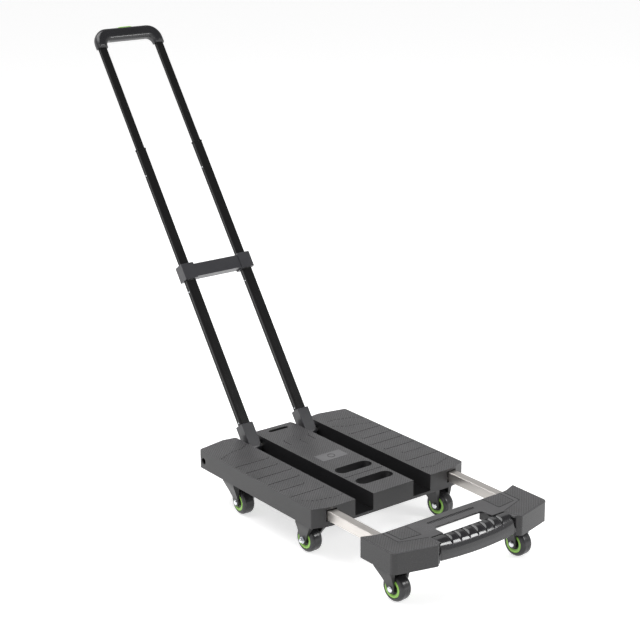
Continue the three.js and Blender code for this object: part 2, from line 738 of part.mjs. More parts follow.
function tube({ width, depth, radius }, z0, z1) {
  const shape = roundedRectangle(width, depth, radius);
  const inner = [width - 2 * TUBE_WALL, depth - 2 * TUBE_WALL];
  shape.holes.push(roundedRectangle(...inner, radius - TUBE_WALL * 0.8, THREE.Path));
  return extrusion(shape, z1 - z0).translate(0, 0, z0);
}

function tubeHole({ width, depth, radius }, z0, z1) {
  const shape = roundedRectangle(width + 2 * FIT_GAP, depth + 2 * FIT_GAP, radius + FIT_GAP);
  return solid(extrusion(shape, z1 - z0).translate(0, 0, z0));
}

function socket() {
  const half = SOCKET_DEPTH / 2;
  const side = anticlockwise([
    ...arc(0, 0, half, 180, 360, 12),
    [half, SOCKET_TOP - 1],
    [half - 1, SOCKET_TOP],
    [1 - half, SOCKET_TOP],
    [-half, SOCKET_TOP - 1],
  ]);
  return cut(
    sideways(side, -SOCKET_WIDTH / 2, SOCKET_WIDTH / 2),
    tubeHole(STAGES[0], SOCKET_FLOOR, SOCKET_TOP + 1),
    rodAlongX(PIN_DIAMETER / 2 + FIT_GAP, -SOCKET_WIDTH, SOCKET_WIDTH, 0, 0),
  );
}

function crossbar() {
  const half = CROSSBAR_COLLAR / 2;
  const depth = CROSSBAR_DEPTH / 2;
  const inner = TUBE_X - half;
  let body = block(-inner - 1, inner + 1, 1.8 - depth, depth - 1.8, CROSSBAR_LOW + 2.5,
    CROSSBAR_TOP - 3.5);
  for (const { sign } of SIDES) {
    const x = sign * TUBE_X;
    body = join(body, block(x - half, x + half, -depth, depth, CROSSBAR_LOW, CROSSBAR_TOP));
    body = cut(
      body,
      tubeHole(STAGES[0], CROSSBAR_LOW - 1, CROSSBAR_TOP - SHOULDER).translate([x, 0, 0]),
      tubeHole(STAGES[1], CROSSBAR_LOW, CROSSBAR_TOP + 1).translate([x, 0, 0]),
    );
  }
  return body;
}

const HANDGRIP_HALF = TUBE_X + HANDGRIP_LEG_WIDTH / 2;
const BUTTON_WELL = BUTTON_TRAVEL + 4;

function handgrip() {
  const half = HANDGRIP_HALF;
  const inner = TUBE_X - HANDGRIP_LEG_WIDTH / 2;
  const crown = HANDGRIP_TOP - HANDGRIP_RADIUS;
  const shape = outline(
    mirrored([
      ...arc(inner - 12, HANDGRIP_BAR_LOW - 12, 12, 90, 0, 4),
      [inner, HANDGRIP_LOW],
      [half, HANDGRIP_LOW],
      ...arc(half - HANDGRIP_RADIUS, crown, HANDGRIP_RADIUS, 0, 90, 7),
    ]),
  );
  const bevel = 5;
  const geometry = new THREE.ExtrudeGeometry(shape, {
    depth: HANDGRIP_DEPTH - 2 * bevel,
    bevelThickness: bevel,
    bevelSize: bevel,
    bevelOffset: -bevel,
    bevelSegments: 2,
  });
  const body = solid(
    geometry.applyMatrix4(axesXZY).translate(0, HANDGRIP_DEPTH / 2 - bevel, 0),
  );
  const holes = SIDES.map(({ sign }) =>
    tubeHole(STAGES[2], HANDGRIP_LOW - 1, HANDGRIP_LOW + HANDGRIP_LEG + 2 + FIT_GAP).translate([
      sign * TUBE_X, 0, 0,
    ]),
  );
  const [length, width] = [BUTTON_LENGTH / 2 + FIT_GAP, BUTTON_WIDTH / 2 + FIT_GAP];
  return cut(
    body,
    ...holes,
    block(-length, length, -width, width, HANDGRIP_TOP - BUTTON_WELL, HANDGRIP_TOP + 1),
  );
}

function releaseButton() {
  const low = HANDGRIP_TOP - BUTTON_WELL + BUTTON_TRAVEL + FIT_GAP;
  const shape = outline(stadium(0, 0, BUTTON_LENGTH, BUTTON_WIDTH, 4));
  return extrusion(shape, HANDGRIP_TOP + BUTTON_PROUD - low).translate(0, 0, low);
}

for (const { side, sign } of SIDES) {
  const line = new THREE.Group();
  line.position.x = sign * TUBE_X;
  handle.add(line);
  place(line, `socket_${side}`, socket(), mouldedPlastic);
  place(line, `lower_tube_${side}`,
    tube(STAGES[0], SOCKET_FLOOR + FIT_GAP, CROSSBAR_TOP - SHOULDER - FIT_GAP), blackTube);
  place(line, `middle_tube_${side}`,
    tube(STAGES[1], CROSSBAR_TOP - STAGE_OVERLAP, MIDDLE_TOP), blackTube);
  place(line, `upper_tube_${side}`,
    tube(STAGES[2], MIDDLE_TOP - STAGE_OVERLAP, HANDGRIP_LOW + HANDGRIP_LEG + 2), blackTube);
}
place(handle, 'crossbar', crossbar(), mouldedPlastic);
place(handle, 'handgrip', handgrip(), softGrip);
place(handle, 'release_button', releaseButton(), greenPlastic);

// ---------------------------------------------------------------- origin under the middle

cart.updateMatrixWorld(true);
const box = new THREE.Box3().setFromObject(cart, true);
cart.position.y = -(box.min.y + box.max.y) / 2;

export default cart;
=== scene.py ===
import json
import logging
import math
from dataclasses import dataclass, field
from enum import Enum
from typing import Callable, Iterable, Sequence

import bmesh
import bpy
from mathutils import Matrix, Vector


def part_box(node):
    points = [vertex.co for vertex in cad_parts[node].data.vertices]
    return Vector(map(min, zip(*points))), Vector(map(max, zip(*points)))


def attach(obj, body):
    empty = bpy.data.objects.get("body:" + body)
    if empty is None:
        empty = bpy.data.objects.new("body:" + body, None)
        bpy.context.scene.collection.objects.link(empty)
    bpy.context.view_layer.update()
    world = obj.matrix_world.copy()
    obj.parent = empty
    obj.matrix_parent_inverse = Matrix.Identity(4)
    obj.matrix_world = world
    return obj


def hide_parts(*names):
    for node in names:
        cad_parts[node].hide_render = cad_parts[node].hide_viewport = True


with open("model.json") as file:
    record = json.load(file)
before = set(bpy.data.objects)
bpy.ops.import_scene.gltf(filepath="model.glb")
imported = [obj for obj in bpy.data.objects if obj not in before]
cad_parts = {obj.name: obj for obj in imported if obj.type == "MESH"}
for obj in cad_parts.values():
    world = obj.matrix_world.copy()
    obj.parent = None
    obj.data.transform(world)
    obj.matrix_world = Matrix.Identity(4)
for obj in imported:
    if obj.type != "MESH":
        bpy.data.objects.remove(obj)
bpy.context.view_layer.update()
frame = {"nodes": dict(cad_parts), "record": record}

log = logging.getLogger("cart")
MM = 0.001
Point = tuple[float, float]
Colour = tuple[float, float, float]
Feed = bpy.types.NodeSocket | float
SIDES = {"left": -1, "right": 1}
CORNERS = [f"{row}_{side}" for row in ("rear", "middle", "front") for side in SIDES]


# ------------------------------------------------------------------ finishes

LATTICE_EDGE = 4.0  # how steeply a diamond rises from its valley
FACING_UP = 0.97  # the normal's Z above which a face counts as a top
VALLEY_SHADE = 0.2  # how much darker a valley is, per unit of its height
GRAIN_DETAIL = 3
CLOUD_SCALE, CLOUD_DETAIL = 22, 5
# least share of the dust and painted top light on a face that looks up, where the cloud is
# thinnest
LEAST_DUST_AND_TOP_LIGHT = 0.35
COAT_ROUGHNESS = 0.12
BUMP_STRENGTH = 0.6


class Grain(Enum):
    """How a surface is textured, as the stretch of its noise along X, Y and Z."""

    PEBBLED = (1.0, 1.0, 1.0)
    BRUSHED_ALONG = (1.0, 0.02, 1.0)
    BRUSHED_UPRIGHT = (1.0, 0.06, 0.03)
    TURNED = (0.2, 1.0, 1.0)


class Slot(Enum):
    """Material slots of the record."""

    MOULDED = "moulded"
    DARK = "dark"
    GRIP = "grip"
    TUBE = "tube"
    STEEL = "steel"
    BRIGHT = "bright"
    TYRE = "tyre"
    GREEN = "green"


def shader_group(
    name: str, inputs: Sequence[tuple[str, str]], outputs: Sequence[tuple[str, str]]
) -> tuple[bpy.types.NodeTree, bpy.types.Node, bpy.types.Node]:
    """Makes an empty shader node group.

    Args:
        name: the group's name.
        inputs: (socket name, socket type) of each input.
        outputs: the same for each output.

    Returns:
        The group, its input node and its output node.
    """
    group = bpy.data.node_groups.new(name, "ShaderNodeTree")
    for title, kind in inputs:
        group.interface.new_socket(title, in_out="INPUT", socket_type=kind)
    for title, kind in outputs:
        group.interface.new_socket(title, in_out="OUTPUT", socket_type=kind)
    return group, group.nodes.new("NodeGroupInput"), group.nodes.new("NodeGroupOutput")


def math_node(
    nodes: bpy.types.Nodes,
    links: bpy.types.NodeLinks,
    kind: str,
    first: Feed,
    second: Feed,
    clamp: bool = False,
) -> bpy.types.NodeSocket:
    """Adds a Math node fed by sockets or numbers.

    Args:
        nodes: the tree's nodes.
        links: the tree's links.
        kind: the operation.
        first: socket or number for the first input.
        second: socket or number for the second input.
        clamp: whether the result is held between 0 and 1.

    Returns:
        The node's output socket.
    """
    node = nodes.new("ShaderNodeMath")
    node.operation, node.use_clamp = kind, clamp
    for socket, value in zip(node.inputs, (first, second)):
        if isinstance(value, (int, float)):
            socket.default_value = value
        else:
            links.new(value, socket)
    return node.outputs[0]


def lattice(
    nodes: bpy.types.Nodes,
    links: bpy.types.NodeLinks,
    place: bpy.types.NodeSocket,
    pitch: bpy.types.NodeSocket,
) -> bpy.types.NodeSocket:
    """Adds a lattice of small raised diamonds on the faces that look up.

    Args:
        nodes: the tree's nodes.
        links: the tree's links.
        place: the socket that gives the place on the object.
        pitch: the socket that gives the diamonds per metre.

    Returns:
        The socket of its height: -1 in the valleys, 0 on the diamonds and away from tops.
    """
    split = nodes.new("ShaderNodeSeparateXYZ")
    links.new(place, split.inputs[0])
    waves = []
    for kind in ("ADD", "SUBTRACT"):
        across = math_node(nodes, links, kind, split.outputs["X"], split.outputs["Y"])
        scaled = math_node(nodes, links, "MULTIPLY", across, pitch)
        waves.append(math_node(nodes, links, "PINGPONG", scaled, 0.5))
    low = math_node(nodes, links, "MINIMUM", *waves)
    bright = math_node(nodes, links, "MULTIPLY", low, LATTICE_EDGE, True)
    valley = math_node(nodes, links, "SUBTRACT", bright, 1.0)
    normal = nodes.new("ShaderNodeNewGeometry")
    facing = nodes.new("ShaderNodeSeparateXYZ")
    links.new(normal.outputs["Normal"], facing.inputs[0])
    top = math_node(nodes, links, "GREATER_THAN", facing.outputs["Z"], FACING_UP)
    return math_node(nodes, links, "MULTIPLY", valley, top)


def wear_and_light_group() -> bpy.types.NodeTree:
    """Makes the shared effect: grain, drifting colour and roughness, the lattice with painted
    shade in its valleys, and dust with painted top light on faces that look up.

    Returns:
        The node group.
    """
    value, colour, vector = "NodeSocketFloat", "NodeSocketColor", "NodeSocketVector"
    group, given, result = shader_group(
        "wear_and_painted_light",
        [("Colour", colour), ("Dust And Top Light Colour", colour), ("Stretch", vector), ("Scale", value),
         ("Drift", value), ("Roughness", value), ("Spread", value), ("Dust And Top Light", value),
         ("Lattice Pitch", value), ("Lattice Height", value)],
        [("Colour", colour), ("Roughness", value), ("Height", value)],
    )
    nodes, links = group.nodes, group.links
    place = nodes.new("ShaderNodeTexCoord")
    stretch = nodes.new("ShaderNodeVectorMath")
    stretch.operation = "MULTIPLY"
    links.new(place.outputs["Object"], stretch.inputs[0])
    links.new(given.outputs["Stretch"], stretch.inputs[1])
    fine = nodes.new("ShaderNodeTexNoise")
    fine.inputs["Detail"].default_value = GRAIN_DETAIL
    links.new(stretch.outputs[0], fine.inputs["Vector"])
    links.new(given.outputs["Scale"], fine.inputs["Scale"])
    cloud = nodes.new("ShaderNodeTexNoise")
    cloud.inputs["Scale"].default_value = CLOUD_SCALE
    cloud.inputs["Detail"].default_value = CLOUD_DETAIL
    links.new(place.outputs["Object"], cloud.inputs["Vector"])
    swing = math_node(nodes, links, "SUBTRACT", cloud.outputs["Fac"], 0.5)
    speck = math_node(nodes, links, "SUBTRACT", fine.outputs["Fac"], 0.5)
    both = math_node(nodes, links, "ADD", swing, speck)
    shade = math_node(nodes, links, "MULTIPLY", both, given.outputs["Drift"])
    raised = lattice(nodes, links, place.outputs["Object"], given.outputs["Lattice Pitch"])
    relief = math_node(nodes, links, "MULTIPLY", raised, given.outputs["Lattice Height"])
    # painted shade: the colour is darkened in the lattice's valleys, in proportion to their depth
    painted_valley_shade = math_node(nodes, links, "MULTIPLY", relief, VALLEY_SHADE)
    gain = math_node(nodes, links, "ADD", shade, 1.0)
    tint = nodes.new("ShaderNodeVectorMath")
    tint.operation = "SCALE"
    links.new(given.outputs["Colour"], tint.inputs[0])
    links.new(gain, tint.inputs["Scale"])
    # dust and painted top light: faces that look up are mixed, in patches, towards a lighter
    # colour
    facing = nodes.new("ShaderNodeNewGeometry")
    split = nodes.new("ShaderNodeSeparateXYZ")
    links.new(facing.outputs["Normal"], split.inputs[0])
    upward_dust_and_light = math_node(nodes, links, "MULTIPLY", split.outputs["Z"], given.outputs["Dust And Top Light"], True)
    patchy = math_node(nodes, links, "ADD", cloud.outputs["Fac"], LEAST_DUST_AND_TOP_LIGHT)
    dust_and_top_light_mask = math_node(nodes, links, "MULTIPLY", upward_dust_and_light, patchy, True)
    dusted_and_top_lit = nodes.new("ShaderNodeMix")
    dusted_and_top_lit.data_type = "RGBA"
    links.new(dust_and_top_light_mask, dusted_and_top_lit.inputs["Factor"])
    links.new(tint.outputs[0], dusted_and_top_lit.inputs["A"])
    links.new(given.outputs["Dust And Top Light Colour"], dusted_and_top_lit.inputs["B"])
    valley_shaded = nodes.new("ShaderNodeVectorMath")
    valley_shaded.operation = "SCALE"
    links.new(dusted_and_top_lit.outputs["Result"], valley_shaded.inputs[0])
    links.new(math_node(nodes, links, "ADD", painted_valley_shade, 1.0), valley_shaded.inputs["Scale"])
    links.new(valley_shaded.outputs[0], result.inputs["Colour"])
    vary = math_node(nodes, links, "MULTIPLY", both, given.outputs["Spread"])
    links.new(math_node(nodes, links, "ADD", given.outputs["Roughness"], vary, True),
              result.inputs["Roughness"])
    links.new(math_node(nodes, links, "ADD", fine.outputs["Fac"], relief), result.inputs["Height"])
    return group


# the shared group: grain and drift, with painted valley shade and painted top light mixed into the
# colour
WEAR_AND_PAINTED_LIGHT = wear_and_light_group()


@dataclass(frozen=True)
class Finish:
    """One finish, how it wears, and the painted top light and painted valley shade in its colour.

    Lengths are in metres; the grain's size is that of one pebble or streak.
    """

    name: str
    slot: Slot
    colour: Colour
    roughness: float
    metallic: float = 0.0
    grain: Grain = Grain.PEBBLED
    grain_size: float = 0.0008
    depth: float = 0.00004
    drift: float = 0.25
    spread: float = 0.15
    # dust and painted top light: how much, and how light, the faces that look up are coloured
    dust_and_top_light: float = 0.0
    dust_and_top_light_colour: Colour = (0.2, 0.2, 0.2)
    coat: float = 0.0
    specular: float = 0.5
    lattice_pitch: float = 0.0
    lattice_height: float = 0.0

    def material(self) -> bpy.types.Material:
        """Returns the finish as a material, made the first time it is asked for."""
        known = bpy.data.materials.get(self.name)
        if known:
            return known
        made = bpy.data.materials.new(self.name)
        made.use_nodes = True
        nodes, links = made.node_tree.nodes, made.node_tree.links
        shader = nodes["Principled BSDF"]
        for title, value in {
            "Metallic": self.metallic, "Specular IOR Level": self.specular,
            "Coat Weight": self.coat, "Coat Roughness": COAT_ROUGHNESS,
        }.items():
            shader.inputs[title].default_value = value
        wear_and_light = nodes.new("ShaderNodeGroup")
        wear_and_light.node_tree = WEAR_AND_PAINTED_LIGHT
        for title, value in {
            "Colour": (*self.colour, 1), "Dust And Top Light Colour": (*self.dust_and_top_light_colour, 1),
            "Stretch": self.grain.value, "Scale": 1 / self.grain_size, "Drift": self.drift,
            "Roughness": self.roughness, "Spread": self.spread, "Dust And Top Light": self.dust_and_top_light,
            "Lattice Pitch": self.lattice_pitch, "Lattice Height": self.lattice_height,
        }.items():
            wear_and_light.inputs[title].default_value = value
        bump = nodes.new("ShaderNodeBump")
        bump.inputs["Distance"].default_value = self.depth
        bump.inputs["Strength"].default_value = BUMP_STRENGTH
        links.new(wear_and_light.outputs["Colour"], shader.inputs["Base Color"])
        links.new(wear_and_light.outputs["Roughness"], shader.inputs["Roughness"])
        links.new(wear_and_light.outputs["Height"], bump.inputs["Height"])
        links.new(bump.outputs["Normal"], shader.inputs["Normal"])
        return made


# the lighter colour on upward faces, far lighter than the plastic, is partly dust and partly
# painted top light
MOULDED = Finish("moulded_grey", Slot.MOULDED, (0.0155, 0.0152, 0.0163), 0.38, dust_and_top_light=0.85,
                 dust_and_top_light_colour=(0.125, 0.123, 0.127), depth=0.00012, grain_size=0.0011,
                 lattice_pitch=170, lattice_height=4.0)
PLAIN = Finish("moulded_plain", Slot.MOULDED, (0.0155, 0.0152, 0.0163), 0.24, dust_and_top_light=0.7,
               dust_and_top_light_colour=(0.1, 0.098, 0.102), depth=0.00002)
PLATE_GREY = Finish("plate_grey", Slot.MOULDED, (0.04, 0.04, 0.043), 0.4, dust_and_top_light=0.9,
                    dust_and_top_light_colour=(0.17, 0.168, 0.173), depth=0.00002)
SMOOTH_GREY = Finish("smooth_grey", Slot.MOULDED, (0.03, 0.03, 0.034), 0.32, depth=0.00002,
                     dust_and_top_light=0.2, dust_and_top_light_colour=(0.07, 0.07, 0.074))
GLOSSY_GREY = Finish("glossy_grey", Slot.GRIP, (0.015, 0.015, 0.0165), 0.15, depth=0.00001,
                     grain_size=0.0005, coat=0.25)
# black for the painted shade on the channel floors, and for small dark marks
SHADE_AND_MARK_BLACK = Finish("shade_and_mark_black", Slot.DARK, (0.005, 0.005, 0.0054), 0.4, depth=0.00006,
                       specular=0.2)
FORK_BLACK = Finish("fork_black", Slot.DARK, (0.016, 0.0158, 0.0165), 0.34, depth=0.00005,
                    specular=0.4)
HUB_BLACK = Finish("hub_black", Slot.DARK, (0.005, 0.005, 0.0054), 0.3, depth=0.00002,
                   specular=0.3)
SOFT_GRIP = Finish("soft_grip", Slot.GRIP, (0.012, 0.012, 0.0138), 0.24, depth=0.00001,
                   grain_size=0.0005, coat=0.1)
TUBE_BLACK = Finish("tube_black", Slot.TUBE, (0.0045, 0.0044, 0.0045), 0.24, 0.0,
                    Grain.BRUSHED_UPRIGHT, 0.0008, 0.00002, drift=0.3, specular=0.35)
STEEL = Finish("brushed_steel_bar", Slot.STEEL, (0.64, 0.61, 0.58), 0.34, 1.0,
               Grain.BRUSHED_ALONG, 0.0006, 0.00002, drift=0.3, spread=0.2)
ZINC = Finish("zinc_plate", Slot.STEEL, (0.5, 0.49, 0.48), 0.36, 1.0, drift=0.2)
CHROME = Finish("polished_chrome", Slot.BRIGHT, (0.72, 0.74, 0.77), 0.12, 1.0, Grain.TURNED,
                0.0006, 0.00001, drift=0.06, spread=0.05)
TREAD = Finish("wheel_tread", Slot.TYRE, (0.02, 0.02, 0.0215), 0.24, grain=Grain.PEBBLED,
               grain_size=0.0011, depth=0.00002)
GREEN = Finish("lime_green", Slot.GREEN, (0.25, 0.51, 0.075), 0.36, drift=0.12, coat=0.1,
               depth=0.00002)


# ------------------------------------------------------------------ meshes


def body_of(node: str) -> str:
    """Returns the name of the rigid body that a CAD node belongs to."""
    bodies = frame["record"]["behaviour"]["bodies"]
    return next(name for name, members in bodies.items() if node in members)


def level_shading(piece: bpy.types.Object, sharp_deg: float = 32) -> None:
    """Smooths a piece's shading and keeps its large faces flat.

    Args:
        piece: the mesh object.
        sharp_deg: edges that turn by more than this stay sharp.
    """
    piece.data.shade_smooth()
    piece.data.set_sharp_from_angle(angle=math.radians(sharp_deg))
    weighted = piece.modifiers.new("level", "WEIGHTED_NORMAL")
    weighted.keep_sharp = True
    settle(piece)


def settle(piece: bpy.types.Object) -> None:
    """Turns a piece's modifiers into its plain mesh.

    Args:
        piece: the mesh object.
    """
    bpy.context.view_layer.update()
    seen = piece.evaluated_get(bpy.context.evaluated_depsgraph_get())
    data = bpy.data.meshes.new_from_object(seen)
    piece.modifiers.clear()
    piece.data = data


def show(
    name: str,
    shape: bmesh.types.BMesh,
    finish: Finish,
    body: str,
    replaced: Iterable[str] = (),
    sharp_deg: float = 32,
) -> bpy.types.Object:
    """Puts a finished mesh in the scene, on its body.

    Args:
        name: the piece's name.
        shape: its mesh, which is used up.
        finish: its finish.
        body: the rigid body it rides on.
        replaced: CAD nodes it stands for.
        sharp_deg: edges that turn by more than this stay sharp.

    Returns:
        The piece.
    """
    bmesh.ops.recalc_face_normals(shape, faces=shape.faces)
    data = bpy.data.meshes.new(name)
    shape.to_mesh(data)
    shape.free()
    piece = bpy.data.objects.new(name, data)
    bpy.context.collection.objects.link(piece)
    data.materials.append(finish.material())
    level_shading(piece, sharp_deg)
    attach(piece, body)
    if replaced:
        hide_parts(*replaced)
    return piece


def cad_copy(node: str) -> bmesh.types.BMesh:
    """Copies a CAD node's mesh.

    Args:
        node: the node's name.

    Returns:
        The copy, with shared corners merged and flat faces joined.
    """
    shape = bmesh.new()
    shape.from_mesh(frame["nodes"][node].data)
    bmesh.ops.remove_doubles(shape, verts=shape.verts, dist=0.01 * MM)
    bmesh.ops.dissolve_limit(
        shape, angle_limit=math.radians(0.6), verts=shape.verts, edges=shape.edges
    )
    return shape


def soften(
    shape: bmesh.types.BMesh,
    width: float,
    segments: int,
    chosen: Callable[[bmesh.types.BMEdge], bool] = lambda edge: True,
    least_deg: float = 28,
    held: bool = True,
) -> bmesh.types.BMesh:
    """Rounds a mesh's sharp edges.

    Args:
        shape: the mesh.
        width: how far the rounding reaches, in metres.
        segments: steps in the rounding.
        chosen: says which of the sharp edges are rounded.
        least_deg: edges that turn by less than this are left.
        held: whether the width is held back where roundings would run into each other.

    Returns:
        The same mesh.
    """
    bmesh.ops.recalc_face_normals(shape, faces=shape.faces)
    edges = [
        edge for edge in shape.edges
        if len(edge.link_faces) == 2
        and edge.calc_face_angle(0) > math.radians(least_deg) and chosen(edge)
    ]
    bmesh.ops.bevel(shape, geom=edges, offset=width, segments=segments, profile=0.5,
                    affect="EDGES", clamp_overlap=held)
    return shape


def turned(profile: Sequence[Point], place: Matrix, steps: int = 64) -> bmesh.types.BMesh:
    """Turns a closed profile round the X axis.

    Args:
        profile: (radius, distance along the axis) of each point, in millimetres.
        place: where the result goes.
        steps: steps round the axis.

    Returns:
        The mesh.
    """
    shape = bmesh.new()
    rings = []
    for step in range(steps):
        angle = 2 * math.pi * step / steps
        y, z = math.cos(angle), math.sin(angle)
        rings.append([
            shape.verts.new(place @ Vector((x * MM, r * MM * y, r * MM * z))) for r, x in profile
        ])
    for here, after in zip(rings, rings[1:] + rings[:1]):
        for i in range(len(profile)):
            j = (i + 1) % len(profile)
            shape.faces.new((here[i], here[j], after[j], after[i]))
    bmesh.ops.remove_doubles(shape, verts=shape.verts, dist=0.002 * MM)
    loose = [edge for edge in shape.edges if not edge.link_faces]
    bmesh.ops.delete(shape, geom=loose, context="EDGES")
    return shape


def bar_mesh(section: Sequence[Vector], ends: tuple[Vector, Vector]) -> bmesh.types.BMesh:
    """Runs a flat section between two points.

    Args:
        section: the section's corners about the origin.
        ends: where the run starts and ends.

    Returns:
        The mesh.
    """
    shape = bmesh.new()
    loops = [[shape.verts.new(end + corner) for corner in section] for end in ends]
    shape.faces.new(loops[0])
    shape.faces.new(reversed(loops[1]))
    for i in range(len(section)):
        j = (i + 1) % len(section)
        shape.faces.new((loops[0][i], loops[1][i], loops[1][j], loops[0][j]))
    return shape


def box_mesh(centre: Vector, size: Sequence[float]) -> bmesh.types.BMesh:
    """Makes a box.

    Args:
        centre: its middle, in metres.
        size: its sides along X, Y and Z, in millimetres.

    Returns:
        The mesh.
    """
    shape = bmesh.new()
    sides = Matrix.Diagonal((*(side * MM for side in size), 1))
    bmesh.ops.create_cube(shape, size=1, matrix=Matrix.Translation(centre) @ sides)
    return shape


def upright_edges(shape: bmesh.types.BMesh) -> list[bmesh.types.BMEdge]:
    """Returns a box's upright edges."""
    return [edge for edge in shape.edges
            if abs(edge.verts[0].co.z - edge.verts[1].co.z) > MM]


def dots(at: Sequence[Vector], size: Sequence[float], finish: Finish, rounding: int,
         count: int = 2) -> bmesh.types.BMesh:
    """Makes a row of round heads, such as screws, from one point to another.

    Args:
        at: the row's two ends.
        size: a head's sides in millimetres.
        finish: the heads' finish.
        rounding: steps round a head.
        count: how many there are.

    Returns:
        The row as a plain mesh.
    """
    return Row("dots", at, count, Vector(size) * MM, rounding).mesh(finish)


# ------------------------------------------------------------------ repeats


@dataclass
class Row:
    """Equal shapes spaced along a smooth path by Geometry Nodes, each turned to follow it."""

    name: str
    path: Sequence[Vector]
    count: int
    size: Vector
    rounding: int = 0

    def unit(self, tree: bpy.types.NodeTree) -> bpy.types.NodeSocket:
        """Adds the node that makes one shape of unit size.

        Args:
            tree: the row's node tree.

        Returns:
            The shape's socket.
        """
        if not self.rounding:
            return tree.nodes.new("GeometryNodeMeshCube").outputs["Mesh"]
        ball = tree.nodes.new("GeometryNodeMeshUVSphere")
        ball.inputs["Segments"].default_value = self.rounding
        ball.inputs["Rings"].default_value = max(4, self.rounding // 2)
        ball.inputs["Radius"].default_value = 0.5
        return ball.outputs["Mesh"]

    def tree(self, finish: Finish) -> bpy.types.NodeTree:
        """Builds the row's node tree.

        Args:
            finish: the shapes' finish.

        Returns:
            The tree, with Path, Count and Size as inputs.
        """
        tree = bpy.data.node_groups.new(f"{self.name}_row", "GeometryNodeTree")
        for title, kind in (("Path", "Geometry"), ("Count", "Int"), ("Size", "Vector")):
            tree.interface.new_socket(title, in_out="INPUT", socket_type=f"NodeSocket{kind}")
        tree.interface.new_socket("Row", in_out="OUTPUT", socket_type="NodeSocketGeometry")
        new, link = tree.nodes.new, tree.links.new
        given, result = new("NodeGroupInput"), new("NodeGroupOutput")
        curve = new("GeometryNodeMeshToCurve")
        link(given.outputs["Path"], curve.inputs["Mesh"])
        smooth = new("GeometryNodeCurveSplineType")
        smooth.spline_type = "CATMULL_ROM"
        link(curve.outputs["Curve"], smooth.inputs["Curve"])
        spaced = new("GeometryNodeResampleCurve")
        link(smooth.outputs["Curve"], spaced.inputs["Curve"])
        link(given.outputs["Count"], spaced.inputs["Count"])
        along = new("FunctionNodeAlignRotationToVector")
        along.axis = "X"
        link(new("GeometryNodeInputTangent").outputs["Tangent"], along.inputs["Vector"])
        sized = new("GeometryNodeTransform")
        link(self.unit(tree), sized.inputs["Geometry"])
        link(given.outputs["Size"], sized.inputs["Scale"])
        spread = new("GeometryNodeInstanceOnPoints")
        link(spaced.outputs["Curve"], spread.inputs["Points"])
        link(along.outputs["Rotation"], spread.inputs["Rotation"])
        link(sized.outputs["Geometry"], spread.inputs["Instance"])
        real = new("GeometryNodeRealizeInstances")
        link(spread.outputs["Instances"], real.inputs["Geometry"])
        dressed = new("GeometryNodeSetMaterial")
        dressed.inputs["Material"].default_value = finish.material()
        link(real.outputs["Geometry"], dressed.inputs["Geometry"])
        link(dressed.outputs["Geometry"], result.inputs["Row"])
        return tree

    def mesh(self, finish: Finish) -> bmesh.types.BMesh:
        """Lays the row out.

        Args:
            finish: the shapes' finish.

        Returns:
            The row as a plain mesh.
        """
        data = bpy.data.meshes.new(f"{self.name}_path")
        steps = [(i, i + 1) for i in range(len(self.path) - 1)]
        data.from_pydata([tuple(point) for point in self.path], steps, [])
        carrier = bpy.data.objects.new(f"{self.name}_row", data)
        bpy.context.collection.objects.link(carrier)
        layout = carrier.modifiers.new("row", "NODES")
        layout.node_group = self.tree(finish)
        values = {"Count": self.count, "Size": self.size}
        for item in layout.node_group.interface.items_tree:
            if item.name in values:
                layout[item.identifier] = values[item.name]
        bpy.context.view_layer.update()
        seen = carrier.evaluated_get(bpy.context.evaluated_depsgraph_get())
        laid = bpy.data.meshes.new_from_object(seen)
        shape = bmesh.new()
        shape.from_mesh(laid)
        bpy.data.objects.remove(carrier)
        bpy.data.meshes.remove(laid)
        return shape


def merged(shapes: Iterable[bmesh.types.BMesh]) -> bmesh.types.BMesh:
    """Puts several meshes in one; the given ones are used up.

    Args:
        shapes: the meshes.

    Returns:
        One mesh that holds them all.
    """
    whole = bmesh.new()
    for shape in shapes:
        data = bpy.data.meshes.new("part")
        shape.to_mesh(data)
        shape.free()
        whole.from_mesh(data)
        bpy.data.meshes.remove(data)
    return whole


def middle(node: str) -> Vector:
    """Returns the middle of a CAD node's box."""
    low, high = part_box(node)
    return (Vector(low) + Vector(high)) / 2


def smooth_arc(
    centre: Point, radius: float, start: float, end: float, steps: int = 8
) -> list[Point]:
    """Returns points on an arc.

    Args:
        centre: the arc's centre.
        radius: its radius.
        start: its first angle in degrees.
        end: its last angle in degrees.
        steps: how many steps it takes.

    Returns:
        The points, from first to last.
    """
    turns = [math.radians(start + (end - start) * i / steps) for i in range(steps + 1)]
    return [(centre[0] + radius * math.cos(a), centre[1] + radius * math.sin(a)) for a in turns]


def carved(shape: bmesh.types.BMesh, *cutters: bmesh.types.BMesh) -> bmesh.types.BMesh:
    """Cuts solids out of a solid.

    Args:
        shape: the solid, which is used up.
        cutters: the solids taken out of it, used up too.

    Returns:
        What is left.
    """
    carriers = []
    for part in (shape, *cutters):
        bmesh.ops.recalc_face_normals(part, faces=part.faces)
        data = bpy.data.meshes.new("carved")
        part.to_mesh(data)
        part.free()
        carriers.append(bpy.data.objects.new("carved", data))
        bpy.context.collection.objects.link(carriers[-1])
    for tool in carriers[1:]:
        cut = carriers[0].modifiers.new("cut", "BOOLEAN")
        cut.operation, cut.solver, cut.object = "DIFFERENCE", "EXACT", tool
    settle(carriers[0])
    rest = bmesh.new()
    rest.from_mesh(carriers[0].data)
    for carrier in carriers:
        bpy.data.objects.remove(carrier)
    return rest


# ------------------------------------------------------------------ deck and extension

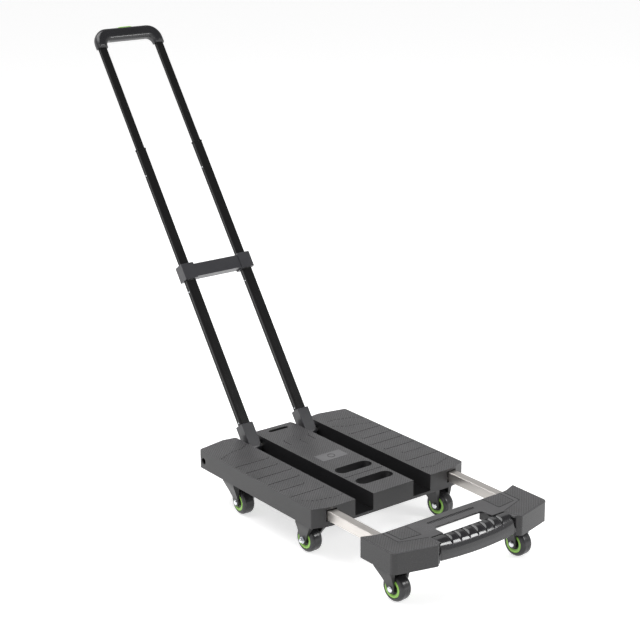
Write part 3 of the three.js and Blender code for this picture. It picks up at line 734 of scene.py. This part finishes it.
DECK_LOW, DECK_HIGH = (Vector(corner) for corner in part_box("deck_shell"))
DECK_REAR = DECK_HIGH.y - 12 * MM
EXTENSION_HIGH = Vector(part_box("extension_shell")[1])
CORNER = 2.2 * MM
CORNER_HEIGHT = 30 * MM
CORNER_X = 99 * MM
HAIR = 0.01 * MM
UPRIGHT = Matrix.Rotation(math.radians(-90), 4, "Y")  # stands a turned shape's axis up
SCREW = (6.5, 6.5, 2.2)
SCREW_STEPS = 20
SCREW_DEPTH = -37.2  # a cover screw's place under the deck's top


def on_deck(x: float, y: float, above: float = 0.0) -> Vector:
    """Returns a point by its place on the deck, in millimetres.

    Args:
        x: to the right of the middle.
        y: behind the deck's rear corners.
        above: over the deck's top.

    Returns:
        The point in metres.
    """
    return Vector((x * MM, DECK_REAR + y * MM, DECK_HIGH.z + above * MM))


def upright_corner(edge: bmesh.types.BMEdge) -> bool:
    """Returns whether an edge is an upright corner on the outside of a shell."""
    a, b = (v.co for v in edge.verts)
    return abs(a.z - b.z) > CORNER_HEIGHT and abs(a.x) > CORNER_X and edge.is_convex


def level_with(edge: bmesh.types.BMEdge, height: float) -> bool:
    """Returns whether both ends of an edge lie at a height."""
    return all(abs(vert.co.z - height) < HAIR for vert in edge.verts)


def edge_middle(edge: bmesh.types.BMEdge) -> Vector:
    """Returns the middle of an edge."""
    return (edge.verts[0].co + edge.verts[1].co) / 2


@dataclass
class Deck:
    """The moulded deck with its plates, pins and guides."""

    rim: float = 1.6 * MM
    wall_x: tuple[float, ...] = (47.2, 88.8)
    front_margin: float = 13.0
    channel_x: float = 68.0
    channel_half: float = 20.6
    channel_ends: Point = (-367.5, -45.0)
    channel_depth: float = -31.8
    shade_sheet: float = 0.6
    rest_at: Point = (-54.0, -30.0)
    rest_size: tuple[float, ...] = (24.0, 15.0, 2.4)
    groove_first: float = -117.0
    groove_pitch: float = 34.6
    groove_starts: tuple[float, ...] = (99.3, 104.3, 96.3, 104.3, 118.8, 99.3)
    dashes: tuple[tuple[Point, ...], ...] = (
        ((-167, -315), (-154, -326), (-143, -330), (-127, -333), (-111, -337), (-94, -335)),
        ((100, -333), (113, -336), (125, -338), (146, -332), (172, -323)),
        ((106, -37), (120, -36), (134, -41), (151, -45), (164, -52), (172, -62)),
        ((98, -64), (117, -77), (139, -83), (156, -89), (168, -93)),
        ((-171, -65), (-142, -52), (-114, -47), (-95, -35)),
    )
    dimples: tuple[Point, ...] = ((-24.4, -65), (3.5, -80), (34.6, -66), (5.6, -54))
    dimple: tuple[float, ...] = (2.5, 2.5, 0.5)
    dash: tuple[float, ...] = (4.8, 1.5, 0.4)
    dash_count: int = 10
    plate_at: Point = (1.5, -181.0)
    plate_size: tuple[float, ...] = (60.0, 31.0, 1.2)
    ring_radius: float = 7.2
    ring_wire: float = 0.6
    screw_ends: Point = (-25.0, -350.0)
    screw_columns: tuple[float, ...] = (99.0, 169.0)

    def shell(self) -> None:
        """Makes the shell: rounding round the rims and the outer upright corners."""
        shape = cad_copy("deck_shell")

        def on_rim(edge: bmesh.types.BMEdge) -> bool:
            """Says which edges are rims.

            Args:
                edge: the edge.

            Returns:
                Whether it runs round the outside of a panel's top.
            """
            centre = edge_middle(edge)
            front = DECK_LOW.y + self.front_margin * MM
            outer = abs(abs(centre.x) - DECK_HIGH.x) < 0.1 * MM
            ends = centre.y < front or centre.y > DECK_REAR - 1 * MM
            walls = min(abs(abs(centre.x) - x * MM) for x in self.wall_x) < 0.3 * MM
            return level_with(edge, DECK_HIGH.z) and (outer or ends or walls)

        soften(shape, CORNER, 3, upright_corner, 15)
        soften(shape, self.rim, 4, on_rim)
        show("deck_shell_fine", shape, MOULDED, "deck", ["deck_shell"])

    def shaded_floors_and_rests(self) -> None:
        """Makes thin black sheets of painted shade on the two handle channels' floors, and the
        sockets' low rests.
        """
        half, thick = Vector((self.channel_half * MM, 0, 0)), Vector((0, 0, self.shade_sheet * MM))
        section = [-half, half, half + thick, thick - half]
        for side, sign in SIDES.items():
            x = sign * self.channel_x
            low, high = (on_deck(x, y, self.channel_depth) for y in self.channel_ends)
            # painted shade: a thin black sheet laid on the channel floor
            floor = bar_mesh(section, (low, high))
            show(f"channel_shade_sheet_{side}", floor, SHADE_AND_MARK_BLACK, "deck")
            block = box_mesh(on_deck(x, *self.rest_at), self.rest_size)
            show(f"channel_rest_{side}", soften(block, 0.8 * MM, 3), SMOOTH_GREY, "deck")

    def marks(self) -> None:
        """Makes the dots at the grooves' inner ends and the dashed lines on the panels."""
        dot_in, dot_back = 1.5, 2.4  # a dot's place from its groove's start
        spots = list(self.dimples)
        for i, start in enumerate(self.groove_starts):
            y = self.groove_first - i * self.groove_pitch
            spots += [(dot_in - start, y + dot_back), (start - dot_in, y + dot_back)]
        heads = [
            dots([on_deck(x, y), on_deck(x + 3, y)], self.dimple, SHADE_AND_MARK_BLACK, 14, 1)
            for x, y in spots
        ]
        show("groove_dots", merged(heads), SHADE_AND_MARK_BLACK, "deck")
        lines = [
            Row("dashes", [on_deck(x, y, 0.02) for x, y in path], self.dash_count,
                Vector(self.dash) * MM).mesh(HUB_BLACK)
            for path in self.dashes
        ]
        show("panel_dashes", merged(lines), HUB_BLACK, "deck")

    def plate(self) -> None:
        """Makes the smooth centre plate with its plain ring."""
        plate_drop, ring_rise = -0.35, 0.1
        shape = box_mesh(on_deck(*self.plate_at, plate_drop), self.plate_size)
        show("centre_plate", soften(shape, 0.25 * MM, 2), PLATE_GREY, "deck")
        place = Matrix.Translation(on_deck(*self.plate_at, ring_rise)) @ UPRIGHT
        wire = smooth_arc((0, 0), self.ring_wire, 0, 330, 11)
        profile = [(r + self.ring_radius, x) for r, x in wire]
        show("plate_ring", turned(profile, place), HUB_BLACK, "deck")

    def fittings(self) -> None:
        """Makes the pivot pins, bar guides and base plates with their screws."""
        for side, sign in SIDES.items():
            low, high = (Vector(corner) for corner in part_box(f"pivot_pin_{side}"))
            half = (high.x - low.x) / 2 / MM
            profile = [(0, -half), (2.6, -half), (4, 1 - half), (4, half - 1), (2.6, half),
                       (0, half)]
            place = Matrix.Translation(middle(f"pivot_pin_{side}"))
            show(f"pivot_pin_{side}_fine", turned(profile, place, 40), ZINC, "deck",
                 [f"pivot_pin_{side}"])
            guide = soften(cad_copy(f"bar_guide_{side}"), 0.8 * MM, 2)
            show(f"bar_guide_{side}_fine", guide, HUB_BLACK, "deck", [f"bar_guide_{side}"])
            base = soften(cad_copy(f"base_plate_{side}"), 0.6 * MM, 2)
            show(f"base_plate_{side}_fine", base, FORK_BLACK, "deck", [f"base_plate_{side}"])
            screws = [
                dots([on_deck(sign * x, y, SCREW_DEPTH) for y in self.screw_ends], SCREW, ZINC,
                     SCREW_STEPS, 5)
                for x in self.screw_columns
            ]
            show(f"base_screws_{side}", merged(screws), ZINC, "deck")

    def build(self) -> None:
        """Builds the whole deck."""
        for step in (self.shell, self.shaded_floors_and_rests, self.marks, self.plate, self.fittings):
            step()
            log.info("deck: %s", step.__name__)


@dataclass
class Extension:
    """The front extension: shell, covers, sliding bars and carry grip."""

    rim: float = 2.4 * MM
    creases: int = 7
    crease_pitch: float = 19.4
    crease_depth: float = 2.8
    crease_half: float = 4.6
    bow: float = 5.0
    tuck: float = 5.5
    grip_stations: int = 420
    rib_reach: float = 50.0
    rib_y: float = -523.0
    rib: tuple[float, ...] = (1.6, 6.6, 1.9)
    line_half: float = 0.5
    line_rise: float = 0.22
    texture_rise: float = 0.15
    screw_ends: Point = (-515.0, -570.0)
    screw_columns: tuple[float, ...] = (-168.0, -100.0, 100.0, 168.0)
    wing: tuple[Point, ...] = (
        (141, -507), (153, -505), (175, -496), (175, -571), (173.5, -576), (169.5, -579.5),
        (98, -597.8), (95.5, -594.5), (94, -590), (87.5, -587.5), (87.5, -566), (141, -548.5),
    )
    patch: tuple[Point, ...] = ((90.5, -506), (90.5, -549), (130, -544), (132, -506.5))

    def shell(self) -> None:
        """Makes the shell with rounded rims, and the covers under it."""
        shape = cad_copy("extension_shell")
        slot_y, slot_half = EXTENSION_HIGH.y - 31 * MM, Vector((56 * MM, 4 * MM))

        def on_rim(edge: bmesh.types.BMEdge) -> bool:
            """Says which edges are rims.

            Args:
                edge: the edge.

            Returns:
                Whether it runs round the shell's top, outside its ribbed slot.
            """
            centre = edge_middle(edge)
            ribbed = abs(centre.y - slot_y) < slot_half.y and abs(centre.x) < slot_half.x
            return level_with(edge, EXTENSION_HIGH.z) and not ribbed

        soften(shape, CORNER, 3, upright_corner, 15)
        soften(shape, self.rim, 4, on_rim)
        show("extension_shell_fine", shape, PLAIN, "extension", ["extension_shell"])
        for side in SIDES:
            name = f"extension_cover_{side}"
            cover = soften(cad_copy(name), 0.6 * MM, 2)
            show(f"{name}_fine", cover, FORK_BLACK, "extension", [name])

    def bars(self) -> None:
        """Makes the two sliding bars with their edges rounded."""
        for side in SIDES:
            bar = soften(cad_copy(f"sliding_bar_{side}"), 0.5 * MM, 2, least_deg=50)
            show(f"sliding_bar_{side}_fine", bar, STEEL, "extension", [f"sliding_bar_{side}"])

    def grip_section(self, low: Vector, high: Vector) -> list[Point]:
        """Returns the grip's side outline as (y, z) points in metres.

        Args:
            low: lowest corner of the grip's box.
            high: highest corner of the grip's box.
        """
        depth, height = high.y - low.y, high.z - low.z
        front = [
            (low.y + depth * (1 - math.cos(a)) * 0.62, low.z + height * (0.3 + 0.7 * math.sin(a)))
            for a in (math.radians(90 * i / 18) for i in range(19))
        ]
        back = [(high.y - 5 * MM + 5 * MM * math.sin(a), high.z - 5 * MM + 5 * MM * math.cos(a))
                for a in (math.radians(90 * i / 6) for i in range(7))]
        foot = [(high.y, low.z + 2 * MM), (high.y - 2 * MM, low.z), (low.y + 4 * MM, low.z),
                (low.y + 1 * MM, low.z + 2 * MM)]
        return front + back + foot

    def crease(self, x: float, climb: float) -> float:
        """Returns how deep a crease is cut at a place on the grip, in metres.

        Args:
            x: the place along the grip, in metres.
            climb: 0 where a crease ends on the front, 1 on the grip's top.
        """
        step = round(x / MM / self.crease_pitch)
        off = abs(x / MM - step * self.crease_pitch)
        half = max(0.4, self.crease_half * climb)
        if abs(step) > self.creases // 2 or off > half:
            return 0.0
        return self.crease_depth * MM * climb * (1 - (off / half) ** 2)

    def grip(self) -> None:
        """Makes the carry grip, with V creases between its finger lobes."""
        low, high = (Vector(corner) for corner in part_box("carry_grip"))
        section = self.grip_section(low, high)
        core = Vector((0, (low.y + high.y) / 2, (low.z + high.z) / 2))
        shape = bmesh.new()
        stations = self.grip_stations
        rings = []
        for step in range(stations + 1):
            x = (2 * step / stations - 1) * (high.x + self.tuck * MM)
            share = min(1.0, abs(x) / high.x)
            past_end = min(1.0, max(0.0, abs(x) - high.x) / (1.2 * MM))
            ring = []
            for i, (y, z) in enumerate(section):
                forward = max(0.0, (core.y - y) / (core.y - low.y))
                climb = min(1.0, max(0.0, (i - 7) / 8)) if i < 22 else 0.0
                reach = Vector((0, y - core.y, z - core.z))
                pull = self.crease(x, climb) + self.bow * MM * share * share * forward
                moved = reach * (1 - (pull + 1.6 * MM * past_end) / reach.length)
                ring.append(shape.verts.new((x, core.y + moved.y, core.z + moved.z)))
            rings.append(ring)
        count = len(section)
        for here, after in zip(rings, rings[1:]):
            for i in range(count):
                j = (i + 1) % count
                shape.faces.new((here[i], here[j], after[j], after[i]))
        shape.faces.new(rings[0])
        shape.faces.new(reversed(rings[-1]))
        show("carry_grip_fine", shape, GLOSSY_GREY, "extension", ["carry_grip"], 40)

    def marks(self) -> None:
        """Makes the textured plates and their borders, the slot's ribs and the screws."""
        top = (EXTENSION_HIGH.z - DECK_HIGH.z) / MM
        thick = Vector((0, 0, self.texture_rise * MM))
        plates = []
        for sign in SIDES.values():
            for outline in (self.wing, self.patch):
                section = [on_deck(sign * x, y, top) for x, y in outline]
                plates.append(bar_mesh(section, (-thick, thick)))
        show("wing_textures", merged(plates), MOULDED, "extension")
        rib_count, rib_drop = 23, 1.2
        ends = [on_deck(x, self.rib_y, top - rib_drop) for x in (-self.rib_reach, self.rib_reach)]
        slot = Row("slot_ribs", ends, rib_count, Vector(self.rib) * MM).mesh(PLAIN)
        show("slot_ribs", slot, PLAIN, "extension")
        high = Vector((0, 0, self.line_rise * MM))
        lines = []
        for sign in SIDES.values():
            edges = [*zip(self.patch, self.patch[1:]), (self.wing[-2], self.wing[-1]),
                     (self.wing[-1], self.wing[0])]
            for (x0, y0), (x1, y1) in edges:
                across = Vector((y1 - y0, sign * (x0 - x1), 0)).normalized() * self.line_half * MM
                section = [-across - high, across - high, across + high, high - across]
                ends = (on_deck(sign * x0, y0, top), on_deck(sign * x1, y1, top))
                lines.append(bar_mesh(section, ends))
        show("patch_borders", merged(lines), SHADE_AND_MARK_BLACK, "extension")
        screws = [
            dots([on_deck(x, y, SCREW_DEPTH) for y in self.screw_ends], SCREW, ZINC, SCREW_STEPS)
            for x in self.screw_columns
        ]
        show("cover_screws", merged(screws), ZINC, "extension")

    def build(self) -> None:
        """Builds the whole extension."""
        for step in (self.shell, self.bars, self.grip, self.marks):
            step()
            log.info("extension: %s", step.__name__)


# ------------------------------------------------------------------ casters


@dataclass
class Caster:
    """One swivel caster; sizes in millimetres."""

    corner: str
    radius: float = 25.0
    half_width: float = 12.5
    shoulder: float = 7.0
    ring_outer: float = 17.2
    ring_inner: float = 11.6
    face: float = 12.9
    fork_outer: float = 16.9
    plate_thick: float = 2.5
    screw_reach: float = 13.0
    screw: tuple[float, ...] = (6.0, 6.0, 2.6)

    def wheel_place(self) -> Matrix:
        """Returns the wheel's frame, with X along the axle."""
        hub, swivel = middle(f"tyre_{self.corner}"), middle(f"caster_plate_{self.corner}")
        away = hub - swivel
        turn = math.atan2(away.x, -away.y)
        return Matrix.Translation(hub) @ Matrix.Rotation(turn, 4, "Z")

    def tyre(self) -> None:
        """Makes the tyre with round shoulders and a moulding line round its middle."""
        inner = self.radius - self.shoulder
        edge = self.half_width - self.shoulder
        right = [(r, x) for r, x in smooth_arc((inner, edge), self.shoulder, 0, 90, 10)]
        bore = self.ring_outer + 0.1
        profile = [(bore, -self.half_width + 0.9), (bore + 0.5, -self.half_width)]
        profile += [(r, -x) for r, x in reversed(right)]
        profile += [(self.radius, -0.5), (self.radius - 0.25, -0.2), (self.radius - 0.25, 0.2),
                    (self.radius, 0.5)]
        profile += right + [(bore + 0.5, self.half_width), (bore, self.half_width - 0.9)]
        show(f"tyre_{self.corner}_fine", turned(profile, self.wheel_place(), 96), TREAD,
             f"wheel_{self.corner}", [f"tyre_{self.corner}"])

    def core(self) -> None:
        """Makes the green wheel core: a rounded ring with a stepped inner edge."""
        face, outer, inner = self.face, self.ring_outer, self.ring_inner
        half = [(outer, 10.5), (outer, face - 0.8), (outer - 0.9, face), (inner + 2.2, face),
                (inner + 1.2, face - 0.5), (inner + 1.0, face - 1.6), (inner, face - 1.9),
                (inner, 9.0)]
        profile = [(r, -x) for r, x in reversed(half)] + half
        show(f"wheel_core_{self.corner}_fine", turned(profile, self.wheel_place(), 72), GREEN,
             f"wheel_{self.corner}", [f"wheel_core_{self.corner}"])

    def hub(self) -> None:
        """Makes the black hub with its bearing collar."""
        inner = self.ring_inner - 0.15
        half = [(inner, 8.0), (inner, 10.4), (inner - 0.7, 10.9), (7.4, 10.6), (6.8, 11.6),
                (6.2, 13.4), (3.4, 13.6), (3.3, 8.0)]
        profile = [(r, -x) for r, x in reversed(half)] + half
        show(f"hub_{self.corner}_fine", turned(profile, self.wheel_place(), 64), HUB_BLACK,
             f"wheel_{self.corner}", [f"hub_{self.corner}"])

    def bolt(self) -> None:
        """Makes the axle bolt: a hexagon dome nut at one end, a low round head at the other."""
        outer = self.fork_outer
        dome = [(r, x + outer + 3.0) for x, r in smooth_arc((0, 0), 4.1, 0, 90, 8)]
        right = [(4.6, outer + 0.9), (6.2, outer + 0.9), (6.2, outer + 0.3)]
        shank = [(3.0, outer), (3.0, -outer), (5.4, -outer), (5.4, -outer - 0.7)]
        head = [(5.4 * math.cos(math.radians(a)), -outer - 0.7 - 2.6 * math.sin(math.radians(a)))
                for a in range(10, 100, 10)]
        place = self.wheel_place()
        rod = turned(dome + right + shank + head, place, 48)
        shape = merged([rod, hexagon(5.3, outer + 0.8, outer + 3.4, place)])
        show(f"axle_bolt_{self.corner}_fine", shape, CHROME, f"wheel_{self.corner}",
             [f"axle_bolt_{self.corner}"])

    def fork(self) -> None:
        """Makes the fork with rounded edges."""
        shape = soften(cad_copy(f"fork_{self.corner}"), 0.9 * MM, 3, least_deg=34)
        show(f"fork_{self.corner}_fine", shape, FORK_BLACK, f"swivel_{self.corner}",
             [f"fork_{self.corner}"])

    def plate(self) -> None:
        """Makes the mounting plate with the ball race and four screws."""
        name = f"caster_plate_{self.corner}"
        body = body_of(name)
        low, high = (Vector(corner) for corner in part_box(name))
        centre = (low + high) / 2
        middle_of_plate = Vector((centre.x, centre.y, high.z - self.plate_thick / 2 * MM))
        sides = ((high.x - low.x) / MM, (high.y - low.y) / MM, self.plate_thick)
        plate = box_mesh(middle_of_plate, sides)
        bmesh.ops.bevel(plate, geom=upright_edges(plate), offset=4 * MM, segments=5,
                        affect="EDGES")
        soften(plate, 0.4 * MM, 2)
        place = Matrix.Translation((centre.x, centre.y, low.z)) @ UPRIGHT
        race = [(0, 0), (12.6, 0), (13.8, 0.5), (13.8, 1.2), (0, 1.2)]
        reach, depth = self.screw_reach * MM, high.z - 2.6 * MM
        screws = [
            dots([Vector((centre.x + s * reach, centre.y + t * reach, depth)) for t in (-1, 1)],
                 self.screw, ZINC, 18)
            for s in (-1, 1)
        ]
        show(f"{name}_fine", merged([plate, turned(race, place, 48), *screws]), ZINC, body, [name])

    def build(self) -> None:
        """Builds the whole caster."""
        for step in (self.tyre, self.core, self.hub, self.bolt, self.fork, self.plate):
            step()
        log.info("caster: %s", self.corner)


def hexagon(across: float, start: float, end: float, place: Matrix) -> bmesh.types.BMesh:
    """Makes a six-sided nut body with rounded corners.

    Args:
        across: from the axis to a corner, in millimetres.
        start: where it starts along X.
        end: where it ends along X.
        place: where it goes.

    Returns:
        The mesh.
    """
    section = [
        Vector((0, across * math.cos(a) * MM, across * math.sin(a) * MM))
        for a in (math.radians(60 * i) for i in range(6))
    ]
    shape = bar_mesh(section, (Vector((start * MM, 0, 0)), Vector((end * MM, 0, 0))))
    soften(shape, 0.5 * MM, 3)
    bmesh.ops.transform(shape, matrix=place, verts=shape.verts)
    return shape


# ------------------------------------------------------------------ handle


@dataclass
class Handle:
    """The three-stage handle; sizes in millimetres, along and across the tubes."""

    lean_deg: float = 35.65
    spacing: float = 136.0
    grip_low: float = 888.0
    grip_bar_low: float = 903.0
    grip_top: float = 931.0
    grip_depth: float = 22.0
    grip_corner: float = 31.0
    leg_width: float = 23.4
    groove_depth: float = 0.7
    groove_bed: float = 1.2
    groove_mouth: float = 1.7
    stud: float = 3.4
    collar_proud: float = 0.7
    bend: float = 12.0
    button_well: tuple[float, ...] = (36.6, 11.6, 20.0)
    well_corner: float = 5.6
    tubes: dict[str, tuple[float, float, float, float, float]] = field(
        default_factory=lambda: {
            "lower": (23.0, 14.4, 3.6, 14.3, 387.7),
            "middle": (20.2, 11.6, 2.7, 336.0, 655.0),
            "upper": (17.4, 8.8, 1.8, 597.0, 904.0),
        }
    )

    def place(self) -> Matrix:
        """Returns the handle's frame: Z along the tubes, from the pivot."""
        pins = [middle(f"pivot_pin_{side}") for side in SIDES]
        pivot = (pins[0] + pins[1]) / 2
        return Matrix.Translation(pivot) @ Matrix.Rotation(-math.radians(self.lean_deg), 4, "X")

    def put(self, shape: bmesh.types.BMesh) -> bmesh.types.BMesh:
        """Moves a mesh from the handle's own frame into the cart's.

        Args:
            shape: the mesh, in metres.

        Returns:
            The same mesh.
        """
        bmesh.ops.transform(shape, matrix=self.place(), verts=shape.verts)
        return shape

    def tube_section(self, width: float, depth: float, radius: float) -> list[Vector]:
        """Returns a tube's rounded outline, with a shallow groove down each side face.

        Args:
            width: across the cart.
            depth: front to back.
            radius: of the corners.

        Returns:
            The outline's corners, in metres.
        """
        w, d = width / 2 - radius, depth / 2 - radius
        points: list[Point] = []
        for cx, cy, start in ((w, d, 0), (-w, d, 90), (-w, -d, 180), (w, -d, 270)):
            points += smooth_arc((cx, cy), radius, start, start + 90, 6)
            if start in (90, 270):
                out = 1 if start == 270 else -1
                face, bed = out * width / 2, out * (width / 2 - self.groove_depth)
                points += [(face, -out * self.groove_mouth), (bed, -out * self.groove_bed),
                           (bed, out * self.groove_bed), (face, out * self.groove_mouth)]
        return [Vector((x * MM, y * MM, 0)) for x, y in points]

    def stage(self, name: str) -> None:
        """Makes one stage's two tubes.

        Args:
            name: lower, middle or upper.
        """
        width, depth, radius, low, high = self.tubes[name]
        section = self.tube_section(width, depth, radius)
        for side, sign in SIDES.items():
            x = sign * self.spacing / 2 * MM
            shape = bar_mesh(section, (Vector((x, 0, low * MM)), Vector((x, 0, high * MM))))
            show(f"{name}_tube_{side}_fine", self.put(shape), TUBE_BLACK, f"handle_{name}",
                 [f"{name}_tube_{side}"], 40)

    def sockets(self) -> None:
        """Makes the two pivoting sockets with their edges rounded."""
        for side in SIDES:
            shape = soften(cad_copy(f"socket_{side}"), 0.7 * MM, 3, least_deg=40)
            show(f"socket_{side}_fine", shape, SMOOTH_GREY, "handle_lower", [f"socket_{side}"])

    def crossbar(self) -> None:
        """Makes the crossbar with its collars."""
        shape = soften(cad_copy("crossbar"), 1.3 * MM, 3, least_deg=40)
        show("crossbar_fine", shape, SMOOTH_GREY, "handle_lower", ["crossbar"])

    def studs(self) -> None:
        """Makes the spring pins on the tubes' left faces and the collar that ends a stage."""
        for side, sign in SIDES.items():
            for stage, heights in {"lower": (54, 337), "middle": (596,)}.items():
                width = self.tubes[stage][0]
                x = sign * self.spacing / 2 - width / 2 + self.groove_depth
                studs = []
                for height in heights:
                    centre = Vector((x, 0, height)) * MM
                    ends = [centre, centre + Vector((0, 0, 7 * MM))]
                    studs.append(dots(ends, (self.stud,) * 3, ZINC, 16, 1))
                show(f"{stage}_pins_{side}", self.put(merged(studs)), CHROME, f"handle_{stage}")
            width, depth, radius, _, top = self.tubes["middle"]
            proud = self.collar_proud
            section = self.tube_section(width + 2 * proud, depth + 2 * proud, radius + proud)
            x = sign * self.spacing / 2 * MM
            ends = (Vector((x, 0, (top - 2.6) * MM)), Vector((x, 0, (top + 0.3) * MM)))
            collar = soften(bar_mesh(section, ends), 0.3 * MM, 2, least_deg=60)
            show(f"stage_collar_{side}", self.put(collar), HUB_BLACK, "handle_middle")

    def grip(self) -> None:
        """Makes the handgrip, deeply rounded, with a well for the button."""
        half = (self.spacing + self.leg_width) / 2
        inner = (self.spacing - self.leg_width) / 2
        crown = self.grip_top - self.grip_corner
        elbow = (inner - self.bend, self.grip_bar_low - self.bend)
        right = smooth_arc(elbow, self.bend, 90, 0, 8)
        right += [(inner, self.grip_low), (half, self.grip_low)]
        right += smooth_arc((half - self.grip_corner, crown), self.grip_corner, 0, 90, 14)
        outline = right + [(-x, z) for x, z in reversed(right)]
        section = [Vector((x * MM, 0, z * MM)) for x, z in outline]
        reach = self.grip_depth / 2 * MM
        shape = bar_mesh(section, (Vector((0, -reach, 0)), Vector((0, reach, 0))))
        soften(shape, 9 * MM, 7, lambda e: abs(e.verts[0].co.y - e.verts[1].co.y) < 0.1 * MM, 60,
               False)
        well = box_mesh(Vector((0, 0, (self.grip_top + 2) * MM)), self.button_well)
        bmesh.ops.bevel(well, geom=upright_edges(well), offset=self.well_corner * MM, segments=8,
                        affect="EDGES")
        shape = self.put(carved(shape, well))
        show("handgrip_fine", shape, SOFT_GRIP, "handle_upper", ["handgrip"])

    def button(self) -> None:
        """Makes the release button with a rounded top."""
        shape = soften(cad_copy("release_button"), 1.2 * MM, 4, least_deg=50)
        show("release_button_fine", shape, GREEN, "button", ["release_button"])

    def build(self) -> None:
        """Builds the whole handle."""
        for stage in self.tubes:
            self.stage(stage)
        for step in (self.sockets, self.crossbar, self.studs, self.grip, self.button):
            step()
            log.info("handle: %s", step.__name__)


# ------------------------------------------------------------------ studio


@dataclass
class Studio:
    """Floor, lights and camera."""

    azimuth_deg: float = -37.26
    elevation_deg: float = 17.42
    roll_deg: float = 0.355
    distance: float = 2.9818
    lens: float = 89.9
    target: tuple[float, float, float] = (-0.0002, -0.1509, 0.3832)
    horizon: float = 0.72
    zenith: float = 0.25
    fade: Point = (0.3, 0.75)
    floor_colour: Colour = (0.85, 0.85, 0.85)
    floor_glow: float = 0.62
    aim: tuple[float, float, float] = (0.0, 0.0, 0.3)

    def camera(self) -> None:
        """Makes the camera at the standing viewer's place, to the front left."""
        azimuth, elevation = math.radians(self.azimuth_deg), math.radians(self.elevation_deg)
        back = Vector((math.sin(azimuth) * math.cos(elevation),
                       -math.cos(azimuth) * math.cos(elevation), math.sin(elevation)))
        right = Vector((math.cos(azimuth), math.sin(azimuth), 0))
        up = back.cross(right)
        roll = math.radians(self.roll_deg)
        turned_right = math.cos(roll) * right - math.sin(roll) * up
        turned_up = math.sin(roll) * right + math.cos(roll) * up
        where = Vector(self.target) + Vector((0, DECK_REAR, 0)) + back * self.distance
        data = bpy.data.cameras.new("viewer")
        data.lens, data.sensor_width = self.lens, 36
        data.clip_end = 50
        seat = bpy.data.objects.new("viewer", data)
        axes = Matrix((turned_right, turned_up, back)).transposed()
        seat.matrix_world = Matrix.Translation(where) @ axes.to_4x4()
        bpy.context.collection.objects.link(seat)
        bpy.context.scene.camera = seat

    def floor(self) -> None:
        """Makes the pale floor."""
        shape = bmesh.new()
        bmesh.ops.create_grid(shape, x_segments=1, y_segments=1, size=30)
        data = bpy.data.meshes.new("floor")
        shape.to_mesh(data)
        shape.free()
        ground = bpy.data.objects.new("floor", data)
        bpy.context.collection.objects.link(ground)
        pale = bpy.data.materials.new("floor_white")
        pale.use_nodes = True
        inputs = pale.node_tree.nodes["Principled BSDF"].inputs
        inputs["Base Color"].default_value = (*self.floor_colour, 1)
        inputs["Roughness"].default_value = 0.9
        inputs["Emission Color"].default_value = (1, 1, 1, 1)
        inputs["Emission Strength"].default_value = self.floor_glow
        data.materials.append(pale)

    def lamp(
        self, name: str, at: tuple[float, float, float], size: float, power: float
    ) -> None:
        """Makes one large soft lamp that faces the cart.

        Args:
            name: the lamp's name.
            at: where it hangs, in metres.
            size: its side in metres.
            power: its power in watts.
        """
        data = bpy.data.lights.new(name, "AREA")
        data.size, data.energy = size, power
        lamp = bpy.data.objects.new(name, data)
        lamp.location = at
        aim = Vector(self.aim) - Vector(at)
        lamp.rotation_euler = aim.to_track_quat("-Z", "Y").to_euler()
        bpy.context.collection.objects.link(lamp)

    def build(self) -> None:
        """Sets the studio up."""
        self.camera()
        self.floor()
        self.lamp("key", (-1.0, 0.8, 3.0), 2.6, 84)
        self.lamp("strip", (1.2, -1.95, 1.2), 0.6, 15)
        self.lamp("front", (-2.6, -2.0, 1.4), 1.2, 5)
        world = bpy.data.worlds.new("studio")
        world.use_nodes = True
        nodes, links = world.node_tree.nodes, world.node_tree.links
        nodes["Background"].inputs["Color"].default_value = (1, 1, 1, 1)
        place = nodes.new("ShaderNodeTexCoord")
        split = nodes.new("ShaderNodeSeparateXYZ")
        links.new(place.outputs["Generated"], split.inputs[0])
        fade = nodes.new("ShaderNodeMapRange")
        fade.interpolation_type = "SMOOTHSTEP"
        for title, value in {"From Min": self.fade[0], "From Max": self.fade[1],
                             "To Min": self.horizon, "To Max": self.zenith}.items():
            fade.inputs[title].default_value = value
        links.new(split.outputs["Z"], fade.inputs["Value"])
        links.new(fade.outputs["Result"], nodes["Background"].inputs["Strength"])
        bpy.context.scene.view_settings.view_transform = "Standard"
        bpy.context.scene.world = world
        log.info("studio")


def main() -> None:
    """Builds the studio and the cart, piece by piece."""
    logging.basicConfig(level=logging.INFO)
    Studio().build()
    Deck().build()
    Extension().build()
    for corner in CORNERS:
        Caster(corner).build()
    Handle().build()


if __name__ == "__main__":
    main()
